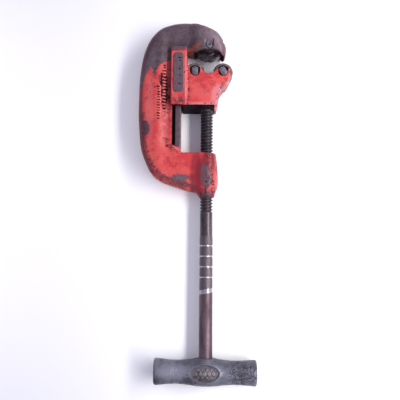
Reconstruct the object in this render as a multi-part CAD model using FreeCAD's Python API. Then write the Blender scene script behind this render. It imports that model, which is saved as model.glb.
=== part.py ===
"""Heavy-duty pipe cutter with one cutter wheel and two rollers, lying flat on its side.

The tool's long axis runs along Y, with the hook at +Y and the T-handle at -Y. X points from the spine of
the C-frame to its open side, and Z points up from the surface that the tool lies on. The shapes are drawn
about the feed screw's axis and moved to the middle of the tool's footprint when they are exported.
"""

import FreeCAD, Part
import math
import os

from FreeCAD import Vector

# Overall shape
THICKNESS = 36.0            # hook and roller housing, from the rest face up
MID = THICKNESS / 2         # height of the screw's axis and of the tool's plane of symmetry
RIDGE_HALF = 16.0           # half thickness along the outside of the C
PLATE_HALF = 13.0           # half thickness of the arm, and of the hook beside the guide block
SPINE_LEFT = -92.4
SPINE_INSIDE = -47.5
HOOK_TOP = 241.6
HOOK_UNDERSIDE = 196.3
ARM_TOP = 57.8
EDGE_ROUND = 5.0
OUTSIDE_X = -55.0           # the outer flank's long edges have their middles left of this,
OUTSIDE_LENGTH = 60.0       # and are longer than this
RIDGE_INSIDE = -66.0        # from here the ridge slopes down to the plate
PLATE_OUTSIDE = -54.0
HOOK_SPLIT = 150.0          # the thicker hook begins above this height
HOOK_RAMP_START = -26.5
HOOK_RAMP_END = -12.0
SPINE_INNER_HALF = 10.0     # half thickness of the spine next to the rail
FAR_LEFT = -100.0           # safely outside the frame
FAR_RIGHT = 45.0

# Guide rail on the inside of the spine, T-shaped in section
RAIL_BACK = -43.0
RAIL_FRONT = -35.2
RAIL_HALF_WIDTH = 10.0
NECK_HALF_WIDTH = 5.0
RAIL_BOTTOM = 69.0
RAIL_OVERLAP = 3.0          # how far the rail's root reaches into the spine and the hook
RAIL_FOOT_BULGE = (-34.2, 66.0)
RAIL_FOOT_END = (-37.0, ARM_TOP - 1)
GUIDE_CLEARANCE = 0.35
WRAP_CLEARANCE = 1.2        # between the guide block's lips and the spine's sloping faces

# Threaded boss of the frame
BOSS_BOTTOM = -3.4
BOSS_PROFILE = ((11.9, 4.0), (14.6, 13.0), (15.3, 24.0), (14.2, 42.0), (12.2, 54.5))  # radius, height
BOSS_END_RADIUS = 9.6

# Jaw
JAW_X = 2.5                 # the wheel, and the middle of the two rollers
WHEEL_Y = 206.3
WHEEL_RADIUS = 19.8
WHEEL_HUB_RADIUS = 8.6
WHEEL_HUB_HALF_LENGTH = 10.0
BLADE_HALF_THICKNESS = 1.8
BLADE_BEVEL = 4.2
FORK_HALF_WIDTH = 10.4
FORK_RADIUS = 21.2
FORK_DEPTH = 20.0           # how far below the hook's underside the fork is cut open
FORK_MOUTH = 13.0           # how far above the wheel's axis the fork opens sideways
ROLLER_Y = 169.0
ROLLER_OFFSET = 19.2
ROLLER_RADIUS = 13.3
ROLLER_HALF_LENGTH = 10.6
ROLLER_SLOT_HALF_WIDTH = 11.0
ROLLER_SLOT_RADIUS = 14.3
ROLLER_WEB = 3.6            # wall between the left roller and the guide block's right side
JAW_GAP_LEFT = -18.0        # the opening between the cheeks, above and between the rollers
JAW_GAP_RIGHT = 23.0
JAW_GAP_BOTTOM = ROLLER_Y - 6
JAW_GAP_TOP = 200.0

# Pins through the jaw
PIN_RADIUS = 4.5
PIN_HEAD_RADIUS = 5.1
PIN_HEAD_THICKNESS = 3.0
PIN_POCKET_RADIUS = 5.5
PIN_POCKET_DEPTH = 3.2
PIN_POCKET_REACH = 14.0     # how far the pocket runs out upwards
ROLLER_PIN_HEAD_RADIUS = 6.2
ROLLER_PIN_HEAD_THICKNESS = 5.0
ROLLER_PIN_FLAT = 4.5       # half the distance over the head's two flats
ROLLER_PIN_POCKET_RADIUS = 7.2
ROLLER_PIN_PROUD = 0.6      # how far its head stands out of the cheek
RUNNING_CLEARANCE = 0.06
PRESS_CLEARANCE = 0.02
PIN_END = 2.0               # height of a pin's back end
CLIP_HIGH = 4.2
CLIP_THICKNESS = 1.2
CLIP_RADIUS = 6.6
CLIP_GROOVE_RADIUS = 3.6
CLIP_RECESS_RADIUS = 7.6

# Roller housing
HOUSING_BOTTOM = 121.5
HOUSING_TOP = 204.0
HOUSING_LEFT = -50.0
HOUSING_CORNER = 3.0
BELOW_HOUSING = 100.0       # safely outside the housing
ABOVE_HOUSING = 220.0
BLOCK_RIGHT = -27.2
WEB_TOP = 186.0
CHEEK_HALF_THICKNESS = 16.6
PAD_HEIGHT = 0.6
PAD_LEFT = -45.9
PAD_RIGHT = -31.6
PAD_BOTTOM = 138.2
PAD_TOP = 194.3
PAD_CORNER = 5.0
SOCKET_BOSS_RADIUS = 14.0
SOCKET_BOSS_BOTTOM = 117.5
WEB_OVERLAP = 3.0           # how far the cheeks reach into the guide block

# Feed screw
THREAD_LEAD = 25.4 / 6
THREAD_RADIUS = 8.4
THREAD_ROOT_RADIUS = 6.6
THREAD_SHARES = (0.38, 0.52, 0.86)  # end of the crest, and start and end of the root, in parts of a lead
THREAD_CLEARANCE = 0.08
THREAD_END = 3.0            # plain collar above the thread
THREAD_END_CHAMFER = 1.5
THREAD_TOP = 116.0
THREAD_BOTTOM = -23.0
NECK_BOTTOM = -54.0
NECK_RADIUS = 8.35
SHANK_RADIUS = 8.8
GRIP_GROOVES = (-67.0, -80.8, -94.6, -108.4)
GRIP_GROOVE_DEPTH = 0.8
GRIP_GROOVE_HALF_WIDTH = 0.8
NOSE_TOP = 144.8
NOSE_RADIUS = 6.6
NOSE_TIP_RADIUS = 4.6
NOSE_TIP_LENGTH = 3.0
NOSE_GROOVE_RADIUS = 4.9
NOSE_GROOVE_BOTTOM = 131.0
NOSE_GROOVE_TOP = 135.6
CROSS_PIN_RADIUS = 1.9
CROSS_PIN_HALF_LENGTH = 12.0
CROSS_PIN_GAP = 0.2
SOCKET_RADIUS = 8.7
SOCKET_TOP = 148.0
THRUST_PAD_THICKNESS = 3.0
THRUST_PAD_RADIUS = 7.5
THRUST_PAD_GAP = 0.2

# T-handle
HANDLE_Y = -229.4
HANDLE_HALF_LENGTH = 67.0
HANDLE_MIDDLE_RADIUS = 18.0
HANDLE_WAIST_RADIUS = 15.1
HANDLE_WAIST_X = 36.0
HANDLE_END_RADIUS = 16.9
HANDLE_EDGE_ROUND = 2.6
HUB_TOP = -211.5
HUB_SOCKET_DEPTH = 6.0      # how far the shank sits in the hub
HUB_PROFILE = ((13.5, HANDLE_Y + 6), (12.4, HUB_TOP - 2), (11.0, HUB_TOP))  # radius, height
TAIL_RADIUS = 7.0
TAIL_BOTTOM = -239.0
HANDLE_PIN_RADIUS = 2.5
HANDLE_PIN_TOP = 29.0
HANDLE_PIN_BOTTOM = 1.2
MEDALLION_HALF_WIDTH = 18.6
MEDALLION_HALF_HEIGHT = 10.8
MEDALLION_DEPTH = 0.9
MEDALLION_X = 0.8

HANDLE_BOTTOM = HANDLE_Y - HANDLE_MIDDLE_RADIUS
ORIGIN = Vector((SPINE_LEFT + HANDLE_HALF_LENGTH) / 2, (HANDLE_BOTTOM + HOOK_TOP) / 2, 0)

X_AXIS = Vector(1, 0, 0)
Y_AXIS = Vector(0, 1, 0)
Z_AXIS = Vector(0, 0, 1)


def point(x, y, z=0.0):
    return Vector(x, y, z)


def line(start, end):
    return Part.LineSegment(point(*start), point(*end)).toShape()


def arc(start, middle, end):
    return Part.Arc(point(*start), point(*middle), point(*end)).toShape()


def box(x0, x1, y0, y1, z0, z1):
    return Part.makeBox(x1 - x0, y1 - y0, z1 - z0, point(x0, y0, z0))


def prism(edges, low, high):
    """A flat outline in the XY plane, raised from one height to another."""
    face = Part.Face(Part.Wire(edges))
    face.translate(Vector(0, 0, low))
    return face.extrude(Vector(0, 0, high - low))


def upright(x, y, radius, low, high):
    """A cylinder that stands along Z."""
    return Part.makeCylinder(radius, high - low, point(x, y, low), Z_AXIS)


def along_screw(radius, y0, y1):
    """A cylinder on the feed screw's axis."""
    return Part.makeCylinder(radius, y1 - y0, point(0, y0, MID), Y_AXIS)


def turned(stations):
    """A solid turned about the feed screw's axis, from stations of (radius, y) in rising y."""
    corners = [(0.0, stations[0][1])] + list(stations) + [(0.0, stations[-1][1])]
    points = [point(radius, y, MID) for radius, y in corners]
    face = Part.Face(Part.makePolygon(points + points[:1]))
    return face.revolve(point(0, 0, MID), Y_AXIS, 360)


def stadium(x0, x1, y0, y1, radius, low, high):
    """An upright block with rounded corners."""
    block = box(x0, x1, y0, y1, low, high)
    corners = [e for e in block.Edges if abs(e.tangentAt(e.FirstParameter).z) > 0.99]
    return block.makeFillet(radius, corners)


def rounded(solid, radius, chosen):
    return solid.makeFillet(radius, [edge for edge in solid.Edges if chosen(edge)])


# ---- Frame ----------------------------------------------------------------------------------------


def curve(points):
    """A smooth open curve through points in the XY plane."""
    spline = Part.BSplineCurve()
    spline.interpolate([point(*p) for p in points])
    return spline.toShape()


def frame_outline():
    """The C-shape seen from above, anticlockwise from the tip of the nose, without the guide rail."""
    nose = (21.5, 188.0)
    crown = [
        (22.8, 212.4), (14.3, 227.0), (-2.0, 235.8), (-31.5, HOOK_TOP), (-59.0, 235.0), (-76.0, 219.5),
        (-86.0, 197.0), (-91.0, 167.0), (SPINE_LEFT, 135.0), (-91.4, 92.0), (-86.4, 56.0), (-70.8, 26.0),
        (-38.0, 10.2), (-4.0, 3.2),
    ]
    return [
        arc(nose, (25.8, 199.4), crown[0]),
        curve(crown),
        line(crown[-1], (-4.0, ARM_TOP)),
        line((-4.0, ARM_TOP), (-38.5, ARM_TOP)),
        line((-38.5, ARM_TOP), (SPINE_INSIDE, RAIL_BOTTOM)),
        line((SPINE_INSIDE, RAIL_BOTTOM), (SPINE_INSIDE, 190.0)),
        arc((SPINE_INSIDE, 190.0), (-45.6, 194.4), (-41.2, HOOK_UNDERSIDE)),
        line((-41.2, HOOK_UNDERSIDE), (-16.0, HOOK_UNDERSIDE)),
        arc((-16.0, HOOK_UNDERSIDE), (0.5, 200.0), (14.5, 197.6)),
        arc((14.5, 197.6), (19.6, 193.8), nose),
    ]


def section_solid(corners, low, high):
    """A closed outline of (x, z) corners, drawn out along Y."""
    points = [point(x, low, z) for x, z in corners]
    return Part.Face(Part.makePolygon(points + points[:1])).extrude(Vector(0, high - low, 0))


def frame_section(right_half):
    """Half of the frame's thickness against X: a ridge outside, a plate inside, and a hook of its own."""
    return [
        (FAR_LEFT, RIDGE_HALF), (RIDGE_INSIDE, RIDGE_HALF), (PLATE_OUTSIDE, PLATE_HALF),
        (HOOK_RAMP_START, PLATE_HALF), (HOOK_RAMP_END, right_half), (FAR_RIGHT, right_half),
    ]


def both_faces(halves):
    """A closed outline of (x, z) corners that is the same above and below the middle plane."""
    above = [(x, MID + half) for x, half in halves]
    below = [(x, MID - half) for x, half in reversed(halves)]
    return above + below


def spine_taper(side):
    """The wedge that is missing from one face of the spine, next to the rail."""
    ridge = MID + side * RIDGE_HALF
    corners = [
        (RIDGE_INSIDE, ridge), (SPINE_INSIDE, MID + side * SPINE_INNER_HALF),
        (RAIL_FRONT, MID + side * SPINE_INNER_HALF), (RAIL_FRONT, ridge + side), (RIDGE_INSIDE, ridge + side),
    ]
    return section_solid(corners, RAIL_BOTTOM, HOOK_UNDERSIDE)


def frame_body():
    """The C-shape with its thickness, split at mid spine between the thin arm and the thicker hook."""
    whole = prism(frame_outline(), 0, THICKNESS)
    lower = whole.common(section_solid(both_faces(frame_section(PLATE_HALF)), 0, HOOK_SPLIT))
    upper = whole.common(section_solid(both_faces(frame_section(MID)), HOOK_SPLIT, HOOK_TOP + 1))
    body = lower.fuse(upper).removeSplitter()

    def on_outside(edge):
        """The outer flank's long edges, up to where the hook starts to thicken."""
        middle = edge.valueAt((edge.FirstParameter + edge.LastParameter) / 2)
        long_enough = edge.Length > OUTSIDE_LENGTH
        return long_enough and middle.x < OUTSIDE_X and all(v.X < 0 for v in edge.Vertexes)

    body = rounded(body, EDGE_ROUND, on_outside)
    return body.cut(spine_taper(1)).cut(spine_taper(-1))


def frame_boss():
    """Barrel-shaped boss round the feed screw's nut thread."""
    stations = [(BOSS_END_RADIUS, BOSS_BOTTOM), *BOSS_PROFILE, (BOSS_END_RADIUS, ARM_TOP)]
    return turned(stations)


def guide_rail():
    """The T-shaped rail with its foot, which runs down to the arm."""
    top = HOOK_UNDERSIDE + RAIL_OVERLAP
    root = SPINE_INSIDE - RAIL_OVERLAP
    head = box(RAIL_BACK, RAIL_FRONT, RAIL_BOTTOM, top, MID - RAIL_HALF_WIDTH, MID + RAIL_HALF_WIDTH)
    neck = box(root, RAIL_BACK, RAIL_BOTTOM, top, MID - NECK_HALF_WIDTH, MID + NECK_HALF_WIDTH)
    foot_edges = [
        line((root, RAIL_BOTTOM), (RAIL_FRONT, RAIL_BOTTOM)),
        arc((RAIL_FRONT, RAIL_BOTTOM), RAIL_FOOT_BULGE, RAIL_FOOT_END),
        line(RAIL_FOOT_END, (root, RAIL_FOOT_END[1])),
        line((root, RAIL_FOOT_END[1]), (root, RAIL_BOTTOM)),
    ]
    foot = prism(foot_edges, MID - RAIL_HALF_WIDTH, MID + RAIL_HALF_WIDTH)
    return head.fuse(neck).fuse(foot)


def wheel_pin_pocket(low, high):
    """A round pocket in the hook's front cheek that runs out upwards as a U-shaped slot."""
    radius = PIN_POCKET_RADIUS
    pocket = upright(JAW_X, WHEEL_Y, radius, low, high)
    return pocket.fuse(box(JAW_X - radius, JAW_X + radius, WHEEL_Y, WHEEL_Y + PIN_POCKET_REACH, low, high))


def frame():
    shape = frame_body().fuse(frame_boss()).fuse(guide_rail())
    shape = shape.cut(along_screw(THREAD_RADIUS + THREAD_CLEARANCE, BOSS_BOTTOM - 1, ARM_TOP + 1))
    low = MID - FORK_HALF_WIDTH
    high = MID + FORK_HALF_WIDTH
    fork = upright(JAW_X, WHEEL_Y, FORK_RADIUS, low, high)
    fork = fork.fuse(box(JAW_X - FORK_RADIUS, FAR_RIGHT, HOOK_UNDERSIDE - FORK_DEPTH, WHEEL_Y, low, high))
    fork = fork.fuse(box(JAW_X, FAR_RIGHT, WHEEL_Y - 1, WHEEL_Y + FORK_MOUTH, low, high))
    shape = shape.cut(fork)
    shape = shape.cut(upright(JAW_X, WHEEL_Y, PIN_RADIUS + PRESS_CLEARANCE, -1, THICKNESS + 1))
    floor = THICKNESS - PIN_POCKET_DEPTH
    shape = shape.cut(wheel_pin_pocket(floor, THICKNESS + 1))
    shape = shape.cut(upright(JAW_X, WHEEL_Y, CLIP_RECESS_RADIUS, -1, CLIP_HIGH))
    return shape.removeSplitter()


# ---- Roller housing -------------------------------------------------------------------------------


def cheek_outline():
    """The housing's cheeks and body from above, anticlockwise from the guide block's lower corner."""
    left = JAW_X - ROLLER_OFFSET
    right = JAW_X + ROLLER_OFFSET
    return [
        line((BLOCK_RIGHT - WEB_OVERLAP, HOUSING_BOTTOM), (11.0, HOUSING_BOTTOM)),
        arc((11.0, HOUSING_BOTTOM), (13.6, 122.6), (14.6, 125.0)),
        line((14.6, 125.0), (16.2, 136.0)),
        arc((16.2, 136.0), (18.6, 143.0), (24.0, 149.0)),
        arc((24.0, 149.0), (30.6, 159.0), (right + 9.6, ROLLER_Y)),
        arc((right + 9.6, ROLLER_Y), (right, ROLLER_Y + 9.6), (right - 8.4, ROLLER_Y + 4.6)),
        arc((right - 8.4, ROLLER_Y + 4.6), (JAW_X + 1.5, 166.2), (left + 8.4, ROLLER_Y + 4.6)),
        arc((left + 8.4, ROLLER_Y + 4.6), (left, ROLLER_Y + 9.6), (left - 7.0, ROLLER_Y + 6.6)),
        line((left - 7.0, ROLLER_Y + 6.6), (BLOCK_RIGHT - WEB_OVERLAP, WEB_TOP - 5)),
        line((BLOCK_RIGHT - WEB_OVERLAP, WEB_TOP - 5), (BLOCK_RIGHT - WEB_OVERLAP, HOUSING_BOTTOM)),
    ]


def tall_box(x0, x1, half):
    """A box about the middle plane that passes the housing at both ends."""
    return box(x0, x1, BELOW_HOUSING, ABOVE_HOUSING, MID - half, MID + half)


def guide_block():
    """The block that wraps the rail: a web beside it, and a plate over each face of the spine."""
    block = stadium(HOUSING_LEFT, BLOCK_RIGHT, HOUSING_BOTTOM, HOUSING_TOP, HOUSING_CORNER, 0, THICKNESS)
    head_gap = RAIL_HALF_WIDTH + GUIDE_CLEARANCE
    spine_gap = SPINE_INNER_HALF + WRAP_CLEARANCE
    wrap_end = SPINE_INSIDE + GUIDE_CLEARANCE
    block = block.cut(tall_box(FAR_LEFT, wrap_end, spine_gap))
    plate_gap = PLATE_HALF + GUIDE_CLEARANCE
    block = block.cut(box(FAR_LEFT, 0, WEB_TOP, ABOVE_HOUSING, MID - plate_gap, MID + plate_gap))
    neck_gap = NECK_HALF_WIDTH + GUIDE_CLEARANCE
    head_room = tall_box(RAIL_BACK - GUIDE_CLEARANCE, RAIL_FRONT + GUIDE_CLEARANCE, head_gap)
    block = block.cut(head_room).cut(tall_box(FAR_LEFT, RAIL_BACK, neck_gap))
    pad_top = THICKNESS + PAD_HEIGHT
    pad = stadium(PAD_LEFT, PAD_RIGHT, PAD_BOTTOM, PAD_TOP, PAD_CORNER, THICKNESS - 1, pad_top)
    return block.fuse(pad)


def roller_housing():
    low = MID - CHEEK_HALF_THICKNESS
    high = MID + CHEEK_HALF_THICKNESS
    shape = guide_block().fuse(prism(cheek_outline(), low, high))
    shape = shape.fuse(along_screw(SOCKET_BOSS_RADIUS, SOCKET_BOSS_BOTTOM, HOUSING_BOTTOM + 1))
    slot_low = MID - ROLLER_SLOT_HALF_WIDTH
    slot_high = MID + ROLLER_SLOT_HALF_WIDTH
    for x in (JAW_X - ROLLER_OFFSET, JAW_X + ROLLER_OFFSET):
        room = upright(x, ROLLER_Y, ROLLER_SLOT_RADIUS, slot_low, slot_high)
        keep_web = tall_box(RAIL_FRONT, BLOCK_RIGHT - ROLLER_WEB, ROLLER_SLOT_HALF_WIDTH)
        shape = shape.cut(room.cut(keep_web))
    shape = shape.cut(box(JAW_GAP_LEFT, JAW_GAP_RIGHT, JAW_GAP_BOTTOM, JAW_GAP_TOP, slot_low, slot_high))
    pocket_floor = high - ROLLER_PIN_HEAD_THICKNESS + ROLLER_PIN_PROUD
    for x in (JAW_X - ROLLER_OFFSET, JAW_X + ROLLER_OFFSET):
        shape = shape.cut(upright(x, ROLLER_Y, PIN_RADIUS + PRESS_CLEARANCE, -1, THICKNESS + 1))
        shape = shape.cut(upright(x, ROLLER_Y, ROLLER_PIN_POCKET_RADIUS, pocket_floor, THICKNESS + 1))
        shape = shape.cut(upright(x, ROLLER_Y, CLIP_RECESS_RADIUS, -1, CLIP_HIGH))
    shape = shape.cut(along_screw(SOCKET_RADIUS, SOCKET_BOSS_BOTTOM - 1, SOCKET_TOP))
    for side in (-1, 1):
        shape = shape.cut(cross_pin(side, CROSS_PIN_RADIUS + PRESS_CLEARANCE))
    return shape.removeSplitter()


def cross_pin(side, radius):
    """One of the two pins beside the screw's nose groove, lying along X."""
    y = (NOSE_GROOVE_BOTTOM + NOSE_GROOVE_TOP) / 2
    z = MID + side * (NOSE_GROOVE_RADIUS + CROSS_PIN_RADIUS + CROSS_PIN_GAP)
    start = point(-CROSS_PIN_HALF_LENGTH, y, z)
    return Part.makeCylinder(radius, 2 * CROSS_PIN_HALF_LENGTH, start, X_AXIS)


# ---- Jaw ------------------------------------------------------------------------------------------


def cutter_wheel():
    """A hub with a thin blade that is bevelled to a sharp rim."""
    profile = [
        (PIN_RADIUS + RUNNING_CLEARANCE, -WHEEL_HUB_HALF_LENGTH),
        (WHEEL_HUB_RADIUS, -WHEEL_HUB_HALF_LENGTH),
        (WHEEL_HUB_RADIUS, -BLADE_HALF_THICKNESS - 1.6),
        (WHEEL_HUB_RADIUS + 1.6, -BLADE_HALF_THICKNESS),
        (WHEEL_RADIUS - BLADE_BEVEL, -BLADE_HALF_THICKNESS),
        (WHEEL_RADIUS, -0.15),
    ]
    profile += [(radius, -height) for radius, height in reversed(profile)]
    points = [point(JAW_X + radius, WHEEL_Y, MID + height) for radius, height in profile]
    face = Part.Face(Part.makePolygon(points + points[:1]))
    return face.revolve(point(JAW_X, WHEEL_Y, MID), Z_AXIS, 360)


def roller(x):
    shape = upright(x, ROLLER_Y, ROLLER_RADIUS, MID - ROLLER_HALF_LENGTH, MID + ROLLER_HALF_LENGTH)
    shape = shape.makeChamfer(1.0, [e for e in shape.Edges if e.Closed])
    return shape.cut(upright(x, ROLLER_Y, PIN_RADIUS + RUNNING_CLEARANCE, 0, THICKNESS))


def grooved_pin(x, y, top):
    """A plain axle with a retaining groove near its back end."""
    shape = upright(x, y, PIN_RADIUS, PIN_END, top)
    groove = upright(x, y, PIN_RADIUS + 1, CLIP_HIGH - CLIP_THICKNESS, CLIP_HIGH)
    groove = groove.cut(upright(x, y, CLIP_GROOVE_RADIUS, 0, THICKNESS))
    return shape.cut(groove)


def wheel_pin():
    top = THICKNESS - 0.2
    head = upright(JAW_X, WHEEL_Y, PIN_HEAD_RADIUS, top - PIN_HEAD_THICKNESS, top)
    return grooved_pin(JAW_X, WHEEL_Y, top - PIN_HEAD_THICKNESS).fuse(head)


def roller_pin(x, turn):
    """Roller axle. Its head has two flats, which stand at the given turn from the Y axis."""
    top = MID + CHEEK_HALF_THICKNESS + ROLLER_PIN_PROUD
    low = top - ROLLER_PIN_HEAD_THICKNESS
    head = upright(x, ROLLER_Y, ROLLER_PIN_HEAD_RADIUS, low, top)
    flats = box(x - ROLLER_PIN_FLAT, x + ROLLER_PIN_FLAT, ROLLER_Y - 10, ROLLER_Y + 10, low, top)
    flats.rotate(point(x, ROLLER_Y, low), Z_AXIS, turn)
    return grooved_pin(x, ROLLER_Y, low).fuse(head.common(flats))


def clip(x, y, opening):
    """A C-shaped retaining ring in a pin's groove, open towards one angle in the XY plane."""
    ring = upright(x, y, CLIP_RADIUS, CLIP_HIGH - CLIP_THICKNESS, CLIP_HIGH)
    ring = ring.cut(upright(x, y, CLIP_GROOVE_RADIUS, 0, THICKNESS))
    mouth = box(x, x + 12, y - 2.6, y + 2.6, 0, THICKNESS)
    mouth.rotate(point(x, y, 0), Z_AXIS, opening)
    return ring.cut(mouth)


# ---- Feed screw and handle ------------------------------------------------------------------------


def thread_stations(bottom, top):
    """Ridges a lead apart, as trapezoids, from the bottom of the thread to its top."""
    crest_end, root_start, root_end = THREAD_SHARES
    stations = []
    for turn in range(int((top - bottom) / THREAD_LEAD)):
        y = bottom + turn * THREAD_LEAD
        stations += [
            (THREAD_RADIUS, y),
            (THREAD_RADIUS, y + THREAD_LEAD * crest_end),
            (THREAD_ROOT_RADIUS, y + THREAD_LEAD * root_start),
            (THREAD_ROOT_RADIUS, y + THREAD_LEAD * root_end),
        ]
    return stations


def feed_screw():
    shank_bottom = HUB_TOP - HUB_SOCKET_DEPTH
    stations = [(TAIL_RADIUS, TAIL_BOTTOM), (TAIL_RADIUS, shank_bottom), (SHANK_RADIUS, shank_bottom)]
    for y in reversed(GRIP_GROOVES):
        stations += [
            (SHANK_RADIUS, y - GRIP_GROOVE_HALF_WIDTH),
            (SHANK_RADIUS - GRIP_GROOVE_DEPTH, y - GRIP_GROOVE_HALF_WIDTH / 2),
            (SHANK_RADIUS - GRIP_GROOVE_DEPTH, y + GRIP_GROOVE_HALF_WIDTH / 2),
            (SHANK_RADIUS, y + GRIP_GROOVE_HALF_WIDTH),
        ]
    stations += [(SHANK_RADIUS, NECK_BOTTOM - 1), (NECK_RADIUS, NECK_BOTTOM), (NECK_RADIUS, THREAD_BOTTOM)]
    stations += thread_stations(THREAD_BOTTOM, THREAD_TOP)
    collar_top = THREAD_TOP + THREAD_END
    stations += [
        (THREAD_RADIUS, THREAD_TOP),
        (THREAD_RADIUS, collar_top),
        (NOSE_RADIUS, collar_top + THREAD_END_CHAMFER),
        (NOSE_RADIUS, NOSE_GROOVE_BOTTOM),
        (NOSE_GROOVE_RADIUS, NOSE_GROOVE_BOTTOM),
        (NOSE_GROOVE_RADIUS, NOSE_GROOVE_TOP),
        (NOSE_RADIUS, NOSE_GROOVE_TOP),
        (NOSE_RADIUS, NOSE_TOP - NOSE_TIP_LENGTH),
        (NOSE_TIP_RADIUS, NOSE_TOP),
    ]
    shape = turned(stations)
    return shape.cut(handle_pin_hole())


def thrust_pad():
    low = NOSE_TOP + THRUST_PAD_GAP
    return along_screw(THRUST_PAD_RADIUS, low, low + THRUST_PAD_THICKNESS)


def handle_pin_hole():
    return upright(0, HANDLE_Y, HANDLE_PIN_RADIUS, -1, HANDLE_PIN_TOP)


def handle_pin():
    return upright(0, HANDLE_Y, HANDLE_PIN_RADIUS, HANDLE_PIN_BOTTOM, HANDLE_PIN_TOP)


def handle_body(inset):
    """The handle's solid of revolution about X, with flared ends and a swollen middle, shrunk by an inset."""
    def at(x, radius):
        return point(x, HANDLE_Y + radius, MID)

    end = HANDLE_HALF_LENGTH - inset
    inner = end - HANDLE_EDGE_ROUND
    end_radius = HANDLE_END_RADIUS - inset
    rim = end_radius - HANDLE_EDGE_ROUND
    corner = HANDLE_EDGE_ROUND * (1 - math.sqrt(0.5))
    crown = [
        at(inner, end_radius), at(HANDLE_WAIST_X, HANDLE_WAIST_RADIUS - inset),
        at(0, HANDLE_MIDDLE_RADIUS - inset), at(-HANDLE_WAIST_X, HANDLE_WAIST_RADIUS - inset),
        at(-inner, end_radius),
    ]
    side = Part.BSplineCurve()
    side.interpolate(crown)
    edges = [
        Part.LineSegment(at(-end, 0), at(end, 0)).toShape(),
        Part.LineSegment(at(end, 0), at(end, rim)).toShape(),
        Part.Arc(at(end, rim), at(end - corner, end_radius - corner), crown[0]).toShape(),
        side.toShape(),
        Part.Arc(crown[-1], at(-end + corner, end_radius - corner), at(-end, rim)).toShape(),
        Part.LineSegment(at(-end, rim), at(-end, 0)).toShape(),
    ]
    return Part.Face(Part.Wire(edges)).revolve(point(0, HANDLE_Y, MID), X_AXIS, 360)


def t_handle():
    shape = handle_body(0.0).fuse(turned(HUB_PROFILE))
    oval = Part.Ellipse(point(MEDALLION_X, HANDLE_Y, MID), MEDALLION_HALF_WIDTH, MEDALLION_HALF_HEIGHT)
    recess = Part.Face(Part.Wire([oval.toShape()])).extrude(Vector(0, 0, HANDLE_MIDDLE_RADIUS + 5))
    shape = shape.cut(recess.cut(handle_body(MEDALLION_DEPTH)))
    shape = shape.cut(along_screw(TAIL_RADIUS, TAIL_BOTTOM, HUB_TOP + 1))
    shape = shape.cut(along_screw(SHANK_RADIUS, HUB_TOP - HUB_SOCKET_DEPTH, HUB_TOP + 1))
    return shape.cut(handle_pin_hole())


def pieces():
    left = JAW_X - ROLLER_OFFSET
    right = JAW_X + ROLLER_OFFSET
    return {
        "frame": frame(),
        "wheel_pin": wheel_pin(),
        "wheel_pin_clip": clip(JAW_X, WHEEL_Y, 200.0),
        "cutter_wheel": cutter_wheel(),
        "roller_housing": roller_housing(),
        "roller_left": roller(left),
        "roller_right": roller(right),
        "roller_pin_left": roller_pin(left, 0.0),
        "roller_pin_right": roller_pin(right, 38.0),
        "roller_pin_clip_left": clip(left, ROLLER_Y, 70.0),
        "roller_pin_clip_right": clip(right, ROLLER_Y, 250.0),
        "thrust_pad": thrust_pad(),
        "screw_pin_front": cross_pin(1, CROSS_PIN_RADIUS),
        "screw_pin_back": cross_pin(-1, CROSS_PIN_RADIUS),
        "feed_screw": feed_screw(),
        "t_handle": t_handle(),
        "handle_pin": handle_pin(),
    }


os.makedirs("parts", exist_ok=True)
for name, shape in pieces().items():
    shape.translate(ORIGIN * -1)
    count = len(shape.Solids)
    print(f"{name:24s} solids {count}  valid {shape.isValid()}  volume {shape.Volume / 1000:.2f} cm3")
    shape.exportStep(f"parts/{name}.step")
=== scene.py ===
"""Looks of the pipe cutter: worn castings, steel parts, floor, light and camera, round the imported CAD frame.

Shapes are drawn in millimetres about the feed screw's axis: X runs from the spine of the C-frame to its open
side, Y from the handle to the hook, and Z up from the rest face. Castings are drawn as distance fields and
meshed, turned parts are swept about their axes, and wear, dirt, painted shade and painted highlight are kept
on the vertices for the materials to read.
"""

import math
from functools import reduce

import bpy
import numpy as np
import openvdb
from mathutils import Matrix, Vector


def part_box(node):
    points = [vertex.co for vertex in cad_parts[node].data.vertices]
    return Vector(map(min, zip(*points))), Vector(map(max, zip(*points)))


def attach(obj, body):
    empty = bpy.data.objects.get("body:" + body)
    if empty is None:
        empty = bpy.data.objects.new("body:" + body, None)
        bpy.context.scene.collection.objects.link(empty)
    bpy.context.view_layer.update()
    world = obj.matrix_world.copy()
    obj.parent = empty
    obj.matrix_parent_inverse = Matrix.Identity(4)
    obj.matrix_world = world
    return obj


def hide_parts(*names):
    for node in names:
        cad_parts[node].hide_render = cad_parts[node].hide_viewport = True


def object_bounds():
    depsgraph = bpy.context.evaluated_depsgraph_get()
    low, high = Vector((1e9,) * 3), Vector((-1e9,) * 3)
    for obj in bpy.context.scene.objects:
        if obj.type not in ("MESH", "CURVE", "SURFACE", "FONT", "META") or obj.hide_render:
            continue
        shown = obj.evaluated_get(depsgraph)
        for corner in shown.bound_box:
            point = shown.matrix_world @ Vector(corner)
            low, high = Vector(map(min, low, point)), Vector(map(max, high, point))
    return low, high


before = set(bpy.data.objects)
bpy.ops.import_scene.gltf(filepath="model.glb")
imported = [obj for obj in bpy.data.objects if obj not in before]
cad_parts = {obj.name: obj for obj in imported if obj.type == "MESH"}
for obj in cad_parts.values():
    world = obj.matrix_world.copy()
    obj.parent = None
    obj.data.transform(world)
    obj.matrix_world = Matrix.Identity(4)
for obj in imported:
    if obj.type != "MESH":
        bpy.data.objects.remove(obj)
frame_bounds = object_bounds()

MM = 0.001

# ---- Where the drawing lies in the frame ----

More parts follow.
